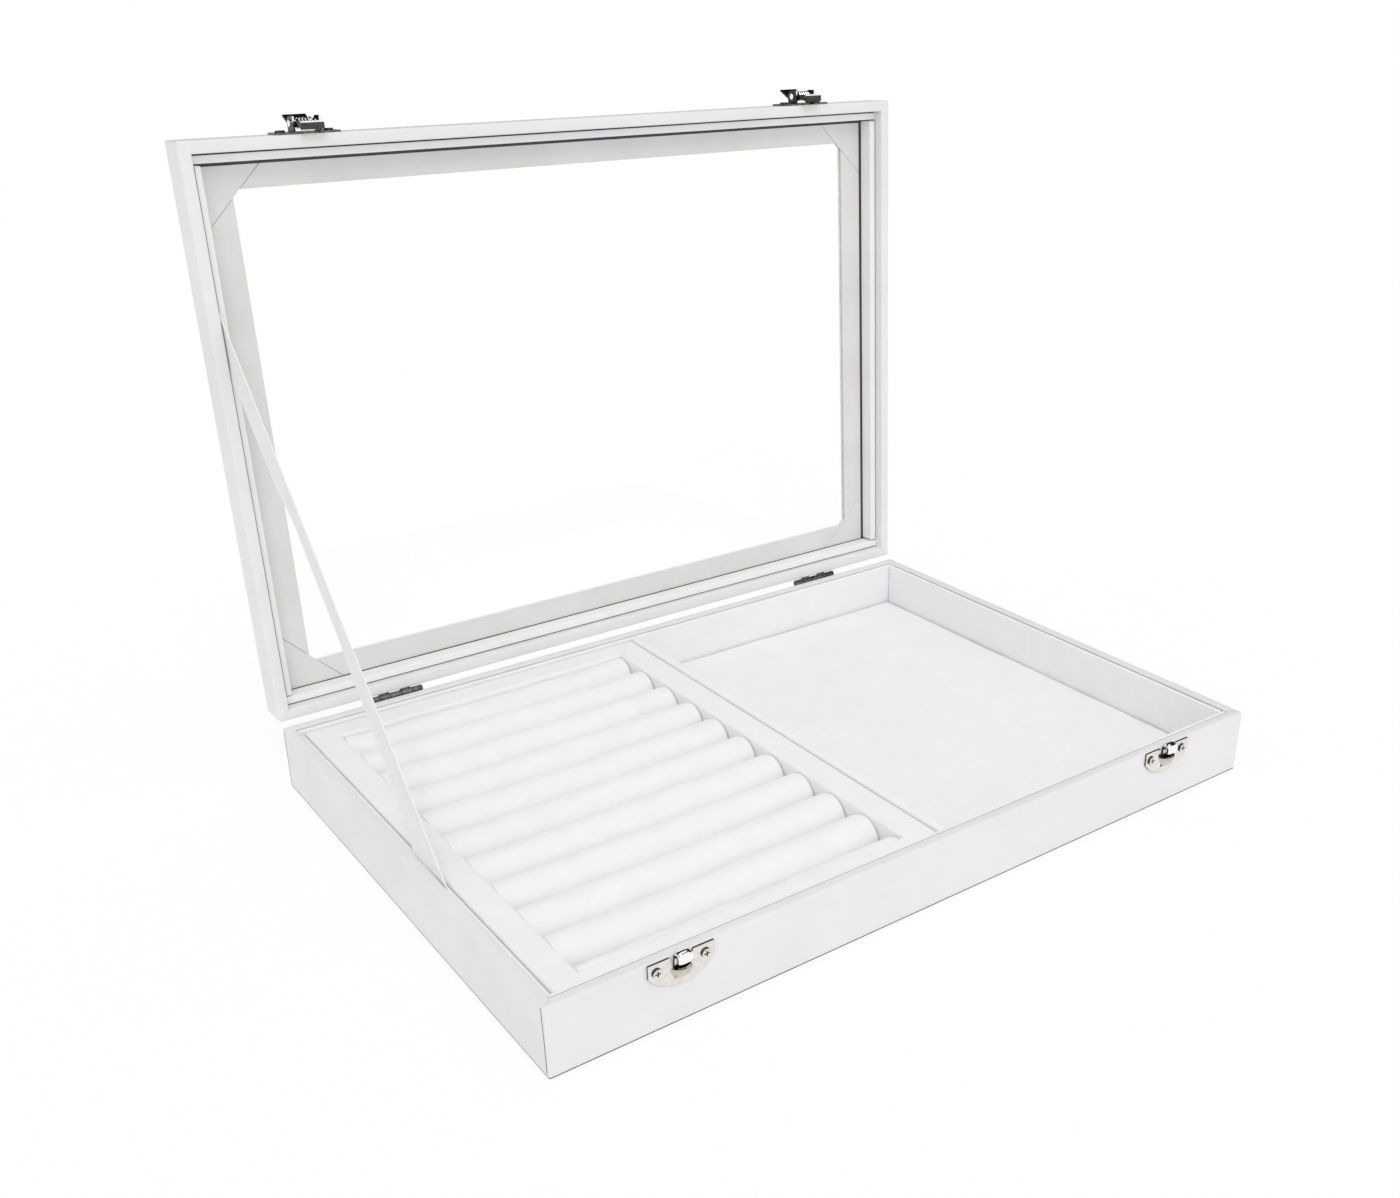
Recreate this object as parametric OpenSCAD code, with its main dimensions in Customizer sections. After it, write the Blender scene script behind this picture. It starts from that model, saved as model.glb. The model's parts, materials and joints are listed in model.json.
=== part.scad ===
// Ring display box: a wrapped tray-like base with a lift-out ring tray and an open compartment,
// and a glazed lid on two small barrel hinges, stopped by a satin ribbon and closed by two sprung latches.
// Millimetres, +Z up, front towards -Y, origin at the middle of the underside. Drawn with the lid open.

/* [Box] */
// Outer length of the box, left to right
box_w = 350; // [330:1:420]
// Outer depth of the box, front to back
box_d = 240; // [210:1:300]
// Height of the base alone
base_h = 28.5; // [26:0.5:36]
// Height of the lid alone
lid_h = 16.5; // [16:0.5:22]
// Thickness of the base walls with their wrap
base_wall = 4.5; // [4.2:0.1:5]
// Thickness of the lid walls with their wrap
lid_wall = 5; // [4.6:0.1:6]
// Rounding of the wrapped outer corners
corner_r = 1; // [0.6:0.1:1.6]
// Angle at which the stay ribbon stops the lid
lid_open = 92.7; // [80:0.1:100]

/* [Base interior] */
// Thickness of the bottom board
bottom_t = 3; // [2:0.5:4]
// Thickness of the velvet-covered lining boards
liner_t = 2.5; // [2:0.1:3]
// How far the lining boards stay below the rim
liner_drop = 0.5; // [0.3:0.1:2]
// How far the partition's left face lies to the left of the middle
partition_off = 0.6; // [-20:0.2:20]
// Thickness of the partition
partition_t = 4.4; // [3:0.1:6]
// Thickness of the loose pad on the compartment floor
pad_t = 3.8; // [2.5:0.1:5]
// Clearance all round the loose pad
pad_gap = 0.4; // [0.3:0.05:1]
// Gap under pieces that lie loose on the bottom board
seat_gap = 0.1; // [0.05:0.05:0.2]

/* [Ring tray] */
// Clearance round the lift-out ring tray
tray_gap = 0.4; // [0.3:0.05:1]
// Thickness of the tray's own board
tray_board_t = 2; // [1.5:0.1:3]
// How far the tray border stays below the rim
tray_drop = 1.5; // [1:0.1:3]
// Width of the flat border at the left
border_left = 12; // [8:0.5:16]
// Width of the flat border at the right
border_right = 13; // [8:0.5:16]
// Width of the flat border at the front
border_front = 5.2; // [4:0.1:12]
// Width of the flat border at the back
border_back = 12; // [8:0.5:16]
// Depth of the folded seams across the border corners
border_seam = 0.4; // [0.2:0.1:0.6]
// Visible width of the foremost roll
first_roll_w = 11; // [6:0.5:14]
// Visible width of the hindmost roll
last_roll_w = 12.5; // [6:0.5:14]
// Width of the slot between two rolls
slot_w = 0.5; // [0.4:0.1:1.2]
// Clearance at the ends of the rolls
roll_end_gap = 0.4; // [0.3:0.1:0.8]

/* [Lid interior] */
// Thickness of the leatherette-covered top flange round the glass
flange_t = 1.9; // [1.5:0.1:2.5]
// Distance from the outer side faces to the glass opening
window_side = 21; // [16:0.5:30]
// Distance from the outer front and back faces to the glass opening
window_end = 19; // [16:0.5:30]
// Cut-off at the corners of the glass opening
window_chamfer = 3; // [2:0.5:6]
// Thickness of the glass
glass_t = 1.2; // [1:0.1:2]
// Thickness of the strips that hold the glass
strip_t = 0.8; // [0.6:0.1:1.2]
// Overlap of the strips past the edge of the flange
strip_lap = 0.4; // [0.2:0.1:1]
// Play left round the glass and between the strips
glass_gap = 0.2; // [0.1:0.05:0.4]
// Thickness of the lid's lining boards
lid_liner_t = 3.8; // [3:0.1:5]
// How far the lining boards stay below the parting plane
lid_liner_drop = 4.5; // [4:0.1:5]
// Gap at the ends of the side lining boards
lid_liner_gap = 0.6; // [0.3:0.1:1]

/* [Hinges] */
// Distance of each hinge's middle from the nearer side face
hinge_side = 53.5; // [30:0.5:80]
// Length of each hinge
hinge_w = 26; // [22:1:30]
// Distance of the hinge axis behind the back face
hinge_back = 1.76; // [1.7:0.02:2]
// Outer radius of the hinge barrel
barrel_r = 1.5; // [1.3:0.05:1.55]
// Radius of the hinge pin
hinge_pin_r = 0.7; // [0.5:0.05:0.75]
// Running clearance of the pin in the barrel
pin_fit = 0.05; // [0.02:0.01:0.1]
// Thickness of the hinge leaves
leaf_t = 0.8; // [0.6:0.05:0.8]
// Gap between two knuckles
knuckle_gap = 0.2; // [0.1:0.05:0.3]
// Depth of each leaf into the wall
leaf_reach = 4; // [3:0.1:4]
// Thickness of the wrapped edge that covers a leaf
leaf_cover = 0.6; // [0.5:0.05:0.7]

/* [Latches] */
// Distance of each latch's middle from the nearer side face
latch_side = 51.5; // [30:0.5:80]
// Length of the latch plate and the strike plate
plate_w = 26.6; // [24:0.2:30]
// Thickness of the pressed sheet
sheet_t = 0.8; // [0.6:0.05:1]
// Distance of the screws from the middle of a plate
screw_at = 9.8; // [9.6:0.1:10.5]
// Radius of a screw head
screw_head_r = 1.9; // [1.5:0.1:2]
// Height of a screw head above its plate
screw_head_h = 0.7; // [0.4:0.1:0.9]
// Length of a screw's shank in the wall
screw_len = 3; // [2:0.1:3.2]
// Outer width of the bracket that carries the lever
bracket_w = 11.6; // [11:0.1:12]
// How far the bracket's cheeks stand out from the wall
bracket_out = 6.6; // [6:0.1:7]
// Radius of the pin across the bracket
latch_pin_r = 0.8; // [0.6:0.05:0.9]
// Angle through which a pressed lever swings
press_angle = 18; // [12:1:18]
// Number of coils of a latch spring
spring_turns = 5; // [4:1:5]
// Radius of the spring wire
spring_wire_r = 0.35; // [0.25:0.05:0.35]

/* [Stay ribbon] */
// Thickness of the satin ribbon
ribbon_t = 0.5; // [0.4:0.1:0.6]
// Distance of the ribbon's middle from the front face, at the base
ribbon_base_at = 96; // [86:1:110]
// Distance of the ribbon's middle from the front face, at the lid
ribbon_lid_at = 73; // [66:1:90]
// Length of gap that the ribbon takes up at the base
ribbon_base_w = 29; // [20:1:34]
// Length of gap that the ribbon takes up at the lid
ribbon_lid_w = 21; // [16:1:28]
// Depth of cupping of the ribbon at its middle
ribbon_cup = 5; // [0:0.5:6]

/* [Part shown] */
// Which piece is drawn

/* [Hidden] */
$fn = 48;
eps = 0.01;
xo = box_w/2;
yo = box_d/2;
parting = base_h;
lid_top = base_h + lid_h;
hinge_y = yo + hinge_back;

// base interior
in_x = xo - base_wall;
in_y = yo - base_wall;
well_x = in_x - liner_t;
well_y = in_y - liner_t;
liner_top = base_h - liner_drop;
part_x0 = -partition_off;
part_x1 = part_x0 + partition_t;
loose_z = bottom_t + seat_gap;

// ring tray
tray_x0 = -well_x + tray_gap;
tray_x1 = part_x0 - tray_gap;
tray_y0 = -well_y + tray_gap;
tray_y1 = well_y - tray_gap;
tray_top = base_h - tray_drop;
tray_floor = loose_z + tray_board_t;
zone_x0 = tray_x0 + border_left;
zone_x1 = tray_x1 - border_right;
zone_y0 = tray_y0 + border_front;
zone_y1 = tray_y1 - border_back;
roll_count = 11;
slot_y0 = zone_y0 + first_roll_w;
slot_y1 = zone_y1 - last_roll_w;
roll_pitch = (slot_y1 - slot_y0)/(roll_count - 2);
roll_r = (roll_pitch - slot_w)/2;

// lid interior
lin_x = xo - lid_wall;
lin_y = yo - lid_wall;
flange_z = lid_top - flange_t;
glass_z = flange_z - glass_t;
strip_z = glass_z - strip_t;
win_x = xo - window_side;
win_y = yo - window_end;
lid_liner_z = parting + lid_liner_drop;
strip_ox = lin_x - glass_gap;
strip_oy = lin_y - glass_gap;
strip_cx = win_x - strip_lap;
strip_cy = win_y - strip_lap;

// hinges
hinge_at = xo - hinge_side;
knuckles = 5;
knuckle_w = hinge_w/knuckles;
slot_gap = 0.1;
rim_gap = 0.1;
leaf_low = leaf_cover + leaf_t;

// latches: all heights from the parting plane, all depths outwards from the front face
latch_at = xo - latch_side;
lp_z0 = 0.8;
lp_z1 = 11.6;
lp_screw_z = 6.2;
lp_notch_w = 8.8;
lp_notch_z = 2.8;
lp_corner_r = 1.2;
cheek_z0 = 1.6;
cheek_z1 = 8.2;
pivot_z = 4.6;
pivot_o = 4;
latch_run_fit = 0.06;
hub_r = 1.6;
lever_gap = 0.3;
lever_w = bracket_w - 2*sheet_t - 2*lever_gap;
hub_ring_w = 0.9;
tab_z0 = 8.8;
tab_o0 = 2.9;
tab_z1 = 16;
tab_o1 = 6.8;
arm_tip_w = 1.4;
arm_tip_back = 0.3;
arm_tip_rise = 0.3;
spring_play = 0.7;
spring_mean_r = latch_pin_r + spring_play + spring_wire_r;
spring_side_gap = 0.3;
spring_leg = 3.4;
spring_foot = 1.5;
cheek_r = 2.4;
pin_stick = 0.4;
pin_head_t = 0.5;
pin_head_r = 1.3;
pin_head_gap = 0.1;

// screws
screw_shank_r = 0.7;
screw_hole_r = 0.75;
screw_hole_spare = 0.5;
cross_len = 1.15;
cross_deep = 0.4;
cross_w = 0.5;

// strike plate and the curled catch on it: heights above or below the rim of the base
sp_below = 0.4;
sp_straight = 5.3;
sp_drop = 11.9;
sp_screw_below = 4.3;
notch_top_w = 10;
notch_low_w = 6.4;
notch_below = 6.6;
catch_w = 6;
catch_o0 = 0.3;
catch_o1 = 3.9;
catch_above = 1.9;
catch_below = 3.1;
catch_lip_r = 0.9;
catch_root_below = 9.6;
scoop_w = 10;
scoop_out = 3.6;
scoop_below = 4.9;
sp_top = base_h - sp_below;
sp_screw_z = base_h - sp_screw_below;
notch_z = base_h - notch_below;
catch_top = base_h + catch_above;
catch_low = base_h - catch_below;
catch_r = (catch_o1 - catch_o0)/2;
catch_root_z = base_h - catch_root_below;
scoop_top = base_h - scoop_below;
hook_gap = 0.3;
bar_t = 1;
bar_z = catch_low - hook_gap - bar_t;
bar_drop = parting + pivot_z - bar_z - bar_t;
release_gap = 0.3;
bar_in = pivot_o + (catch_o1 + release_gap - pivot_o - bar_drop*sin(press_angle))/cos(press_angle);
bar_out = 4.8;

// ribbon
pocket_gap = 0.3;
pocket_t = ribbon_t + 2*pocket_gap;
pocket_margin = 1;
ribbon_in = 9;
ribbon_in_lid = 6;
ribbon_steps = 34;
ribbon_rows = ribbon_steps + 2;
ribbon_cross = 12;
ribbon_narrow = 0.38;
ribbon_ease = 0.8;

// block between two corners
module span(a, b) {
  translate(a) cube([b[0] - a[0], b[1] - a[1], b[2] - a[2]]);
}

// upright block with rounded vertical edges, centred in plan
module wrapped_block(w, d, h, r) {
  translate([-w/2 + r, -d/2, 0]) cube([w - 2*r, d, h]);
  translate([-w/2, -d/2 + r, 0]) cube([w, d - 2*r, h]);
  for (sx = [-1, 1])
    for (sy = [-1, 1])
      translate([sx*(w/2 - r), sy*(d/2 - r), 0]) cylinder(h = h, r = r);
}

// puts a piece drawn on the closed lid where the open lid holds it
module on_lid() {
  translate([0, hinge_y, parting]) rotate([-lid_open, 0, 0]) translate([0, -hinge_y, -parting]) children();
}

// puts a profile of [outwards, up] across the front face: extruded along X, centred at x
module front_profile(x, w) {
  translate([x - w/2, -yo, 0]) rotate([90, 0, 90]) linear_extrude(w) mirror([1, 0]) children();
}

// a flat piece of [across, up], laid on the front face from depth o0 to depth o1 outwards
module front_sheet(x, o0, o1) {
  translate([x, -yo - o0, 0]) rotate([90, 0, 0]) linear_extrude(o1 - o0) children();
}

// base

module base_frame() {
  color("white") difference() {
    wrapped_block(box_w, box_d, base_h, corner_r);
    span([-in_x, -in_y, -1], [in_x, in_y, base_h + 1]);
    for (s = [-1, 1])
      leaf_slot(s*hinge_at, base_h - leaf_low);
    for (s = [-1, 1])
      for (e = [-1, 1])
        translate([s*latch_at + e*screw_at, -yo, sp_screw_z]) rotate([-90, 0, 0])
          cylinder(h = screw_len + screw_hole_spare, r = screw_hole_r, $fn = 24);
  }
}

module base_bottom() {
  color("gainsboro") span([-in_x, -in_y, 0], [in_x, in_y, bottom_t]);
}

module liner_front() {
  color("ghostwhite") span([-in_x, -in_y, bottom_t], [in_x, -well_y, liner_top]);
}

module liner_back() {
  color("ghostwhite") span([-in_x, well_y, bottom_t], [in_x, in_y, liner_top]);
}

module liner_left() {
  color("ghostwhite") difference() {
    span([-in_x, -well_y, bottom_t], [-well_x, well_y, liner_top]);
    span([-in_x - 1, ribbon_base_y - ribbon_base_w/2 - pocket_margin, liner_top - ribbon_in - pocket_margin],
         [-in_x + pocket_t, ribbon_base_y + ribbon_base_w/2 + pocket_margin, liner_top + 1]);
  }
}

module liner_right() {
  color("ghostwhite") span([well_x, -well_y, bottom_t], [in_x, well_y, liner_top]);
}

module partition() {
  color("ghostwhite") span([part_x0, -well_y, bottom_t], [part_x1, well_y, liner_top]);
}

module compartment_pad() {
  color("snow")
    span([part_x1 + pad_gap, -well_y + pad_gap, loose_z],
         [well_x - pad_gap, well_y - pad_gap, loose_z + pad_t]);
}

// ring tray

module tray_base() {
  color("gainsboro") span([tray_x0, tray_y0, loose_z], [tray_x1, tray_y1, tray_floor]);
}

// one diagonal seam across a border corner, from inner corner to outer corner
module corner_seam(p, q) {
  dx = q[0] - p[0];
  dy = q[1] - p[1];
  translate([p[0], p[1], tray_top]) rotate([0, 0, atan2(dy, dx)]) rotate([45, 0, 0])
    cube([norm([dx, dy]), border_seam, border_seam], center = false);
}

module tray_border() {
  color("snow") difference() {
    span([tray_x0, tray_y0, tray_floor], [tray_x1, tray_y1, tray_top]);
    span([zone_x0, zone_y0, tray_floor - 1], [zone_x1, zone_y1, tray_top + 1]);
    corner_seam([zone_x0, zone_y0], [tray_x0, tray_y0]);
    corner_seam([zone_x1, zone_y0], [tray_x1, tray_y0]);
    corner_seam([zone_x0, zone_y1], [tray_x0, tray_y1]);
    corner_seam([zone_x1, zone_y1], [tray_x1, tray_y1]);
  }
}

// cross-section of a full roll in [y, z]: straight sides under a half-round crown
module roll_section(yc) {
  translate([yc, tray_top - roll_r]) circle(r = roll_r, $fn = 64);
  translate([yc - roll_r, tray_floor]) square([2*roll_r, tray_top - roll_r - tray_floor]);
}

// roll number i counted from the front; the end rolls are cut off where the border starts
module ring_roll(i) {
  yc = slot_y0 + (i - 1.5)*roll_pitch;
  y0 = i == 1 ? zone_y0 + roll_end_gap/2 : yc - roll_pitch/2;
  y1 = i == roll_count ? zone_y1 - roll_end_gap/2 : yc + roll_pitch/2;
  color("white") translate([zone_x0 + roll_end_gap, 0, 0]) rotate([90, 0, 90])
    linear_extrude(zone_x1 - zone_x0 - 2*roll_end_gap) intersection() {
      roll_section(yc);
      translate([y0, tray_floor]) square([y1 - y0, tray_top]);
    }
}

// lid, drawn closed

// outline of the glass opening with cut-off corners
module window_outline(grow) {
  wx = win_x + grow;
  wy = win_y + grow;
  c = window_chamfer;
  polygon([[-wx + c, -wy], [wx - c, -wy], [wx, -wy + c], [wx, wy - c],
           [wx - c, wy], [-wx + c, wy], [-wx, wy - c], [-wx, -wy + c]]);
}

module lid_frame() {
  color("white") on_lid() difference() {
    translate([0, 0, parting + rim_gap]) wrapped_block(box_w, box_d, lid_h - rim_gap, corner_r);
    span([-lin_x, -lin_y, parting - 1], [lin_x, lin_y, flange_z]);
    translate([0, 0, flange_z - 1]) linear_extrude(flange_t + 2) window_outline(0);
    for (s = [-1, 1])
      leaf_slot(s*hinge_at, parting + leaf_cover);
    for (s = [-1, 1])
      for (e = [-1, 1])
        translate([s*latch_at + e*screw_at, -yo, parting + lp_screw_z]) rotate([-90, 0, 0])
          cylinder(h = screw_len + screw_hole_spare, r = screw_hole_r, $fn = 24);
  }
}

module glass_pane() {
  color("azure") on_lid()
    span([-lin_x + glass_gap, -lin_y + glass_gap, glass_z], [lin_x - glass_gap, lin_y - glass_gap, flange_z]);
}

// half of a holding strip's length at its inner edge and at its outer edge, which is shorter, as the ends
// run along the diagonals that cut the corners of the opening
function strip_inner(half) = half - window_chamfer - glass_gap;
function strip_outer(half, wide) = strip_inner(half) - wide;

// holding strip along the front or the back: e is -1 or 1
module glass_strip_end(e) {
  wide = strip_oy - strip_cy;
  a = strip_inner(strip_cx);
  b = strip_outer(strip_cx, wide);
  color("gainsboro") on_lid() translate([0, 0, strip_z]) linear_extrude(strip_t)
    polygon([[-a, e*strip_cy], [a, e*strip_cy], [b, e*strip_oy], [-b, e*strip_oy]]);
}

// holding strip along the left or the right
module glass_strip_side(e) {
  wide = strip_ox - strip_cx;
  a = strip_inner(strip_cy);
  b = strip_outer(strip_cy, wide);
  color("gainsboro") on_lid() translate([0, 0, strip_z]) linear_extrude(strip_t)
    polygon([[e*strip_cx, -a], [e*strip_cx, a], [e*strip_ox, b], [e*strip_ox, -b]]);
}

// four triangular pieces under the corners of the lid, between the ends of the strips
module glass_corners() {
  leg = strip_ox + strip_oy - strip_cx - strip_cy + window_chamfer;
  color("gainsboro") on_lid() translate([0, 0, strip_z]) linear_extrude(strip_t)
    for (sx = [-1, 1])
      for (sy = [-1, 1])
        scale([sx, sy]) polygon([[strip_ox, strip_oy], [strip_ox - leg, strip_oy], [strip_ox, strip_oy - leg]]);
}

module lid_liner_end(s) {
  color("white") on_lid() span([-lin_x, s > 0 ? lin_y - lid_liner_t : -lin_y, lid_liner_z],
                               [lin_x, s > 0 ? lin_y : -lin_y + lid_liner_t, strip_z]);
}

module lid_liner_side(s) {
  ye = lin_y - lid_liner_t - lid_liner_gap;
  color("white") on_lid() difference() {
    span([s > 0 ? lin_x - lid_liner_t : -lin_x, -ye, lid_liner_z],
         [s > 0 ? lin_x : -lin_x + lid_liner_t, ye, strip_z]);
    if (s < 0)
      span([-lin_x - 1, ribbon_lid_y - ribbon_lid_w/2 - pocket_margin, lid_liner_z - 1],
           [-lin_x + pocket_t, ribbon_lid_y + ribbon_lid_w/2 + pocket_margin, strip_z + 1]);
  }
}

// hinges

// slot in the back wall that takes the hinge leaf whose underside lies at z
module leaf_slot(x, z) {
  span([x - hinge_w/2 - slot_gap, yo - leaf_reach - slot_gap, z],
       [x + hinge_w/2 + slot_gap, yo + 1, z + leaf_t]);
}

// knuckle number k of a hinge at x, as a bored barrel piece with the strip that joins it to its leaf
module knuckle(x, k, up) {
  x0 = x - hinge_w/2 + k*knuckle_w + knuckle_gap/2;
  w = knuckle_w - knuckle_gap;
  translate([x0, hinge_y, parting]) rotate([0, 90, 0]) cylinder(h = w, r = barrel_r, $fn = 32);
  translate([x0, yo - 1, leaf_z(up)]) cube([w, hinge_back + 1, leaf_t]);
}

// underside of the lid's leaf, or of the base's leaf
function leaf_z(up) = up ? parting + leaf_cover : base_h - leaf_low;

module hinge_leaf(x, up) {
  first = up ? 1 : 0;
  difference() {
    union() {
      translate([x - hinge_w/2, yo - leaf_reach, leaf_z(up)]) cube([hinge_w, leaf_reach, leaf_t]);
      for (k = [first : 2 : knuckles - 1])
        knuckle(x, k, up);
    }
    translate([x - hinge_w, hinge_y, parting]) rotate([0, 90, 0])
      cylinder(h = 2*hinge_w, r = hinge_pin_r + pin_fit, $fn = 32);
  }
}

module hinge_base_leaf(x) {
  color("silver") hinge_leaf(x, false);
}

module hinge_lid_leaf(x) {
  color("silver") on_lid() hinge_leaf(x, true);
}

module hinge_pin(x) {
  color("dimgray") translate([x - hinge_w/2, hinge_y, parting]) rotate([0, 90, 0])
    cylinder(h = hinge_w, r = hinge_pin_r, $fn = 32);
}

// latches, drawn on the closed lid

module latch_plate(x) {
  color("silver") on_lid() {
    difference() {
      front_sheet(x, 0, sheet_t) latch_plate_outline();
      for (e = [-1, 1])
        translate([x + e*screw_at, -yo + 1, parting + lp_screw_z]) rotate([90, 0, 0])
          cylinder(h = screw_len, r = screw_hole_r, $fn = 24);
    }
    for (e = [-1, 1])
      difference() {
        translate([x + e*(bracket_w - sheet_t)/2, 0, 0]) front_profile(0, sheet_t) cheek_outline();
        translate([x + e*(bracket_w - sheet_t)/2 - sheet_t, -yo - pivot_o, parting + pivot_z])
          rotate([0, 90, 0]) cylinder(h = 2*sheet_t, r = latch_pin_r + latch_run_fit, $fn = 24);
      }
  }
}

module latch_plate_outline() {
  r = lp_corner_r;
  difference() {
    union() {
      translate([-plate_w/2 + r, parting + lp_z0]) square([plate_w - 2*r, lp_z1 - lp_z0]);
      translate([-plate_w/2, parting + lp_z0 + r]) square([plate_w, lp_z1 - lp_z0 - 2*r]);
      for (e = [-1, 1])
        for (z = [lp_z0 + r, lp_z1 - r])
          translate([e*(plate_w/2 - r), parting + z]) circle(r = r, $fn = 24);
    }
    translate([-lp_notch_w/2, parting + lp_z0 - 1]) square([lp_notch_w, lp_notch_z - lp_z0 + 1]);
  }
}

// cheek of the bracket in [outwards, up]: straight below, rounded over at the top
module cheek_outline() {
  r = cheek_r;
  translate([sheet_t - eps, parting + cheek_z0]) square([bracket_out - sheet_t, cheek_z1 - cheek_z0 - r]);
  translate([sheet_t - eps, parting + cheek_z0]) square([bracket_out - sheet_t - r, cheek_z1 - cheek_z0]);
  translate([bracket_out - r, parting + cheek_z1 - r]) circle(r = r, $fn = 32);
}

module latch_pin(x) {
  w = bracket_w + 2*pin_stick;
  color("silver") on_lid() translate([x - w/2, -yo - pivot_o, parting + pivot_z]) rotate([0, 90, 0]) {
    cylinder(h = w, r = latch_pin_r, $fn = 32);
    for (z = [pin_stick - pin_head_gap - pin_head_t, w - pin_stick + pin_head_gap])
      translate([0, 0, z]) cylinder(h = pin_head_t, r = pin_head_r, $fn = 32);
  }
}

// lever drawn in the latched position: two hub rings and arms beside the catch, a cross bar under it,
// and a finger tab that slopes outwards above the pin
module latch_lever(x) {
  color("silver") on_lid() difference() {
    union() {
      for (e = [-1, 1]) {
        xc = x + e*(lever_w - hub_ring_w)/2;
        front_profile(xc, hub_ring_w) {
          translate([pivot_o, parting + pivot_z]) circle(r = hub_r, $fn = 32);
          translate([pivot_o - hub_r, bar_z]) square([bar_out - pivot_o + hub_r, parting + pivot_z - bar_z]);
          polygon([[pivot_o - hub_r, parting + pivot_z], [pivot_o + hub_r, parting + pivot_z],
                   [tab_o0 - arm_tip_back + arm_tip_w, parting + tab_z0 + arm_tip_rise],
                   [tab_o0 - arm_tip_back, parting + tab_z0 + arm_tip_rise]]);
        }
      }
      front_profile(x, lever_w) translate([bar_in, bar_z]) square([bar_out - bar_in, bar_t]);
      front_profile(x, lever_w) tab_outline();
    }
    translate([x - lever_w, -yo - pivot_o, parting + pivot_z]) rotate([0, 90, 0])
      cylinder(h = 2*lever_w, r = latch_pin_r + latch_run_fit, $fn = 32);
  }
}

// the finger tab in [outwards, up]: a sloping sheet with a rounded tip
module tab_outline() {
  a = atan2(tab_z1 - tab_z0, tab_o1 - tab_o0);
  len = norm([tab_z1 - tab_z0, tab_o1 - tab_o0]);
  translate([tab_o0, parting + tab_z0]) rotate(a) {
    translate([0, -sheet_t/2]) square([len - sheet_t/2, sheet_t]);
    translate([len - sheet_t/2, 0]) circle(r = sheet_t/2, $fn = 24);
  }
}

// closed tube of rings of side_n points round the given path, with flat ends
function ring_at(p, u, v, r, side_n) =
  [for (j = [0 : side_n - 1]) p + r*cos(360*j/side_n)*u + r*sin(360*j/side_n)*v];

module tube(path, frames, r, side_n) {
  n = len(path);
  pts = [for (i = [0 : n - 1]) for (q = ring_at(path[i], frames[i][0], frames[i][1], r, side_n)) q];
  sides = [for (i = [0 : n - 2]) for (j = [0 : side_n - 1])
             for (t = [0, 1])
               t == 0 ? [i*side_n + j, i*side_n + (j + 1)%side_n, (i + 1)*side_n + j]
                      : [i*side_n + (j + 1)%side_n, (i + 1)*side_n + (j + 1)%side_n, (i + 1)*side_n + j]];
  cap0 = [for (j = [1 : side_n - 2]) [0, j + 1, j]];
  m = (n - 1)*side_n;
  cap1 = [for (j = [1 : side_n - 2]) [m, m + j, m + j + 1]];
  polyhedron(points = pts, faces = concat(sides, cap0, cap1), convexity = 8);
}

// torsion spring: a helix along X round the pin, a foot towards the plate and a leg up behind the finger tab
spring_per_turn = 10;
spring_n = spring_turns*spring_per_turn;
spring_coil_w = lever_w - 2*hub_ring_w - 2*spring_side_gap - 2*spring_wire_r;

function coil_point(a) =
  [spring_coil_w*(a/(360*spring_turns) - 0.5), spring_mean_r*cos(a), spring_mean_r*sin(a)];

coil_path = [for (i = [0 : spring_n]) coil_point(360*i/spring_per_turn)];
coil_apart = min([for (i = [0 : spring_n]) for (j = [i + spring_per_turn/2 : 1 : spring_n])
                    norm(coil_path[i] - coil_path[j])]);
echo(latch_spring_least_gap = coil_apart - 2*spring_wire_r);

module latch_spring(x) {
  n = spring_n;
  path = concat([coil_path[0] + [0, 0, -spring_foot]], coil_path, [coil_path[n] + [0, 0, spring_leg]]);
  frames = [for (i = [0 : n + 2])
              let (a = 360*min(n, max(0, i - 1))/spring_per_turn, u = [0, cos(a), sin(a)])
                [u, cross(unit(path[min(i + 1, n + 2)] - path[max(i - 1, 0)]), u)]];
  color("silver") on_lid() translate([x, -yo - pivot_o, parting + pivot_z])
    tube(path, frames, spring_wire_r, 6);
}

function unit(v) = v/norm(v);

// cross-head screw through a plate on the front face, head outwards
module front_screw(x, z) {
  difference() {
    union() {
      translate([x, -yo - sheet_t - screw_head_h, z]) rotate([-90, 0, 0])
        cylinder(h = screw_head_h, r = screw_head_r, $fn = 32);
      translate([x, -yo - sheet_t - eps, z]) rotate([-90, 0, 0])
        cylinder(h = sheet_t + screw_len, r = screw_shank_r, $fn = 24);
    }
    for (a = [0, 90])
      translate([x, -yo - sheet_t - screw_head_h, z]) rotate([0, a, 0])
        cube([2*cross_len, 2*cross_deep, cross_w], center = true);
  }
}

module latch_screws() {
  color("silver") on_lid()
    for (s = [-1, 1])
      for (e = [-1, 1])
        front_screw(s*latch_at + e*screw_at, parting + lp_screw_z);
}

module strike_screws() {
  color("silver")
    for (s = [-1, 1])
      for (e = [-1, 1])
        front_screw(s*latch_at + e*screw_at, sp_screw_z);
}

// strikes

// D-shaped plate: straight sides above an arc that reaches its lowest point at the middle
module strike_outline() {
  sag = sp_drop - sp_straight;
  r = (plate_w*plate_w/4 + sag*sag)/(2*sag);
  translate([-plate_w/2, sp_top - sp_straight]) square([plate_w, sp_straight]);
  intersection() {
    translate([0, sp_top - sp_drop + r]) circle(r = r, $fn = 96);
    translate([-plate_w/2, sp_top - sp_drop - 1]) square([plate_w, sag + 1 + eps]);
  }
}

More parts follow.
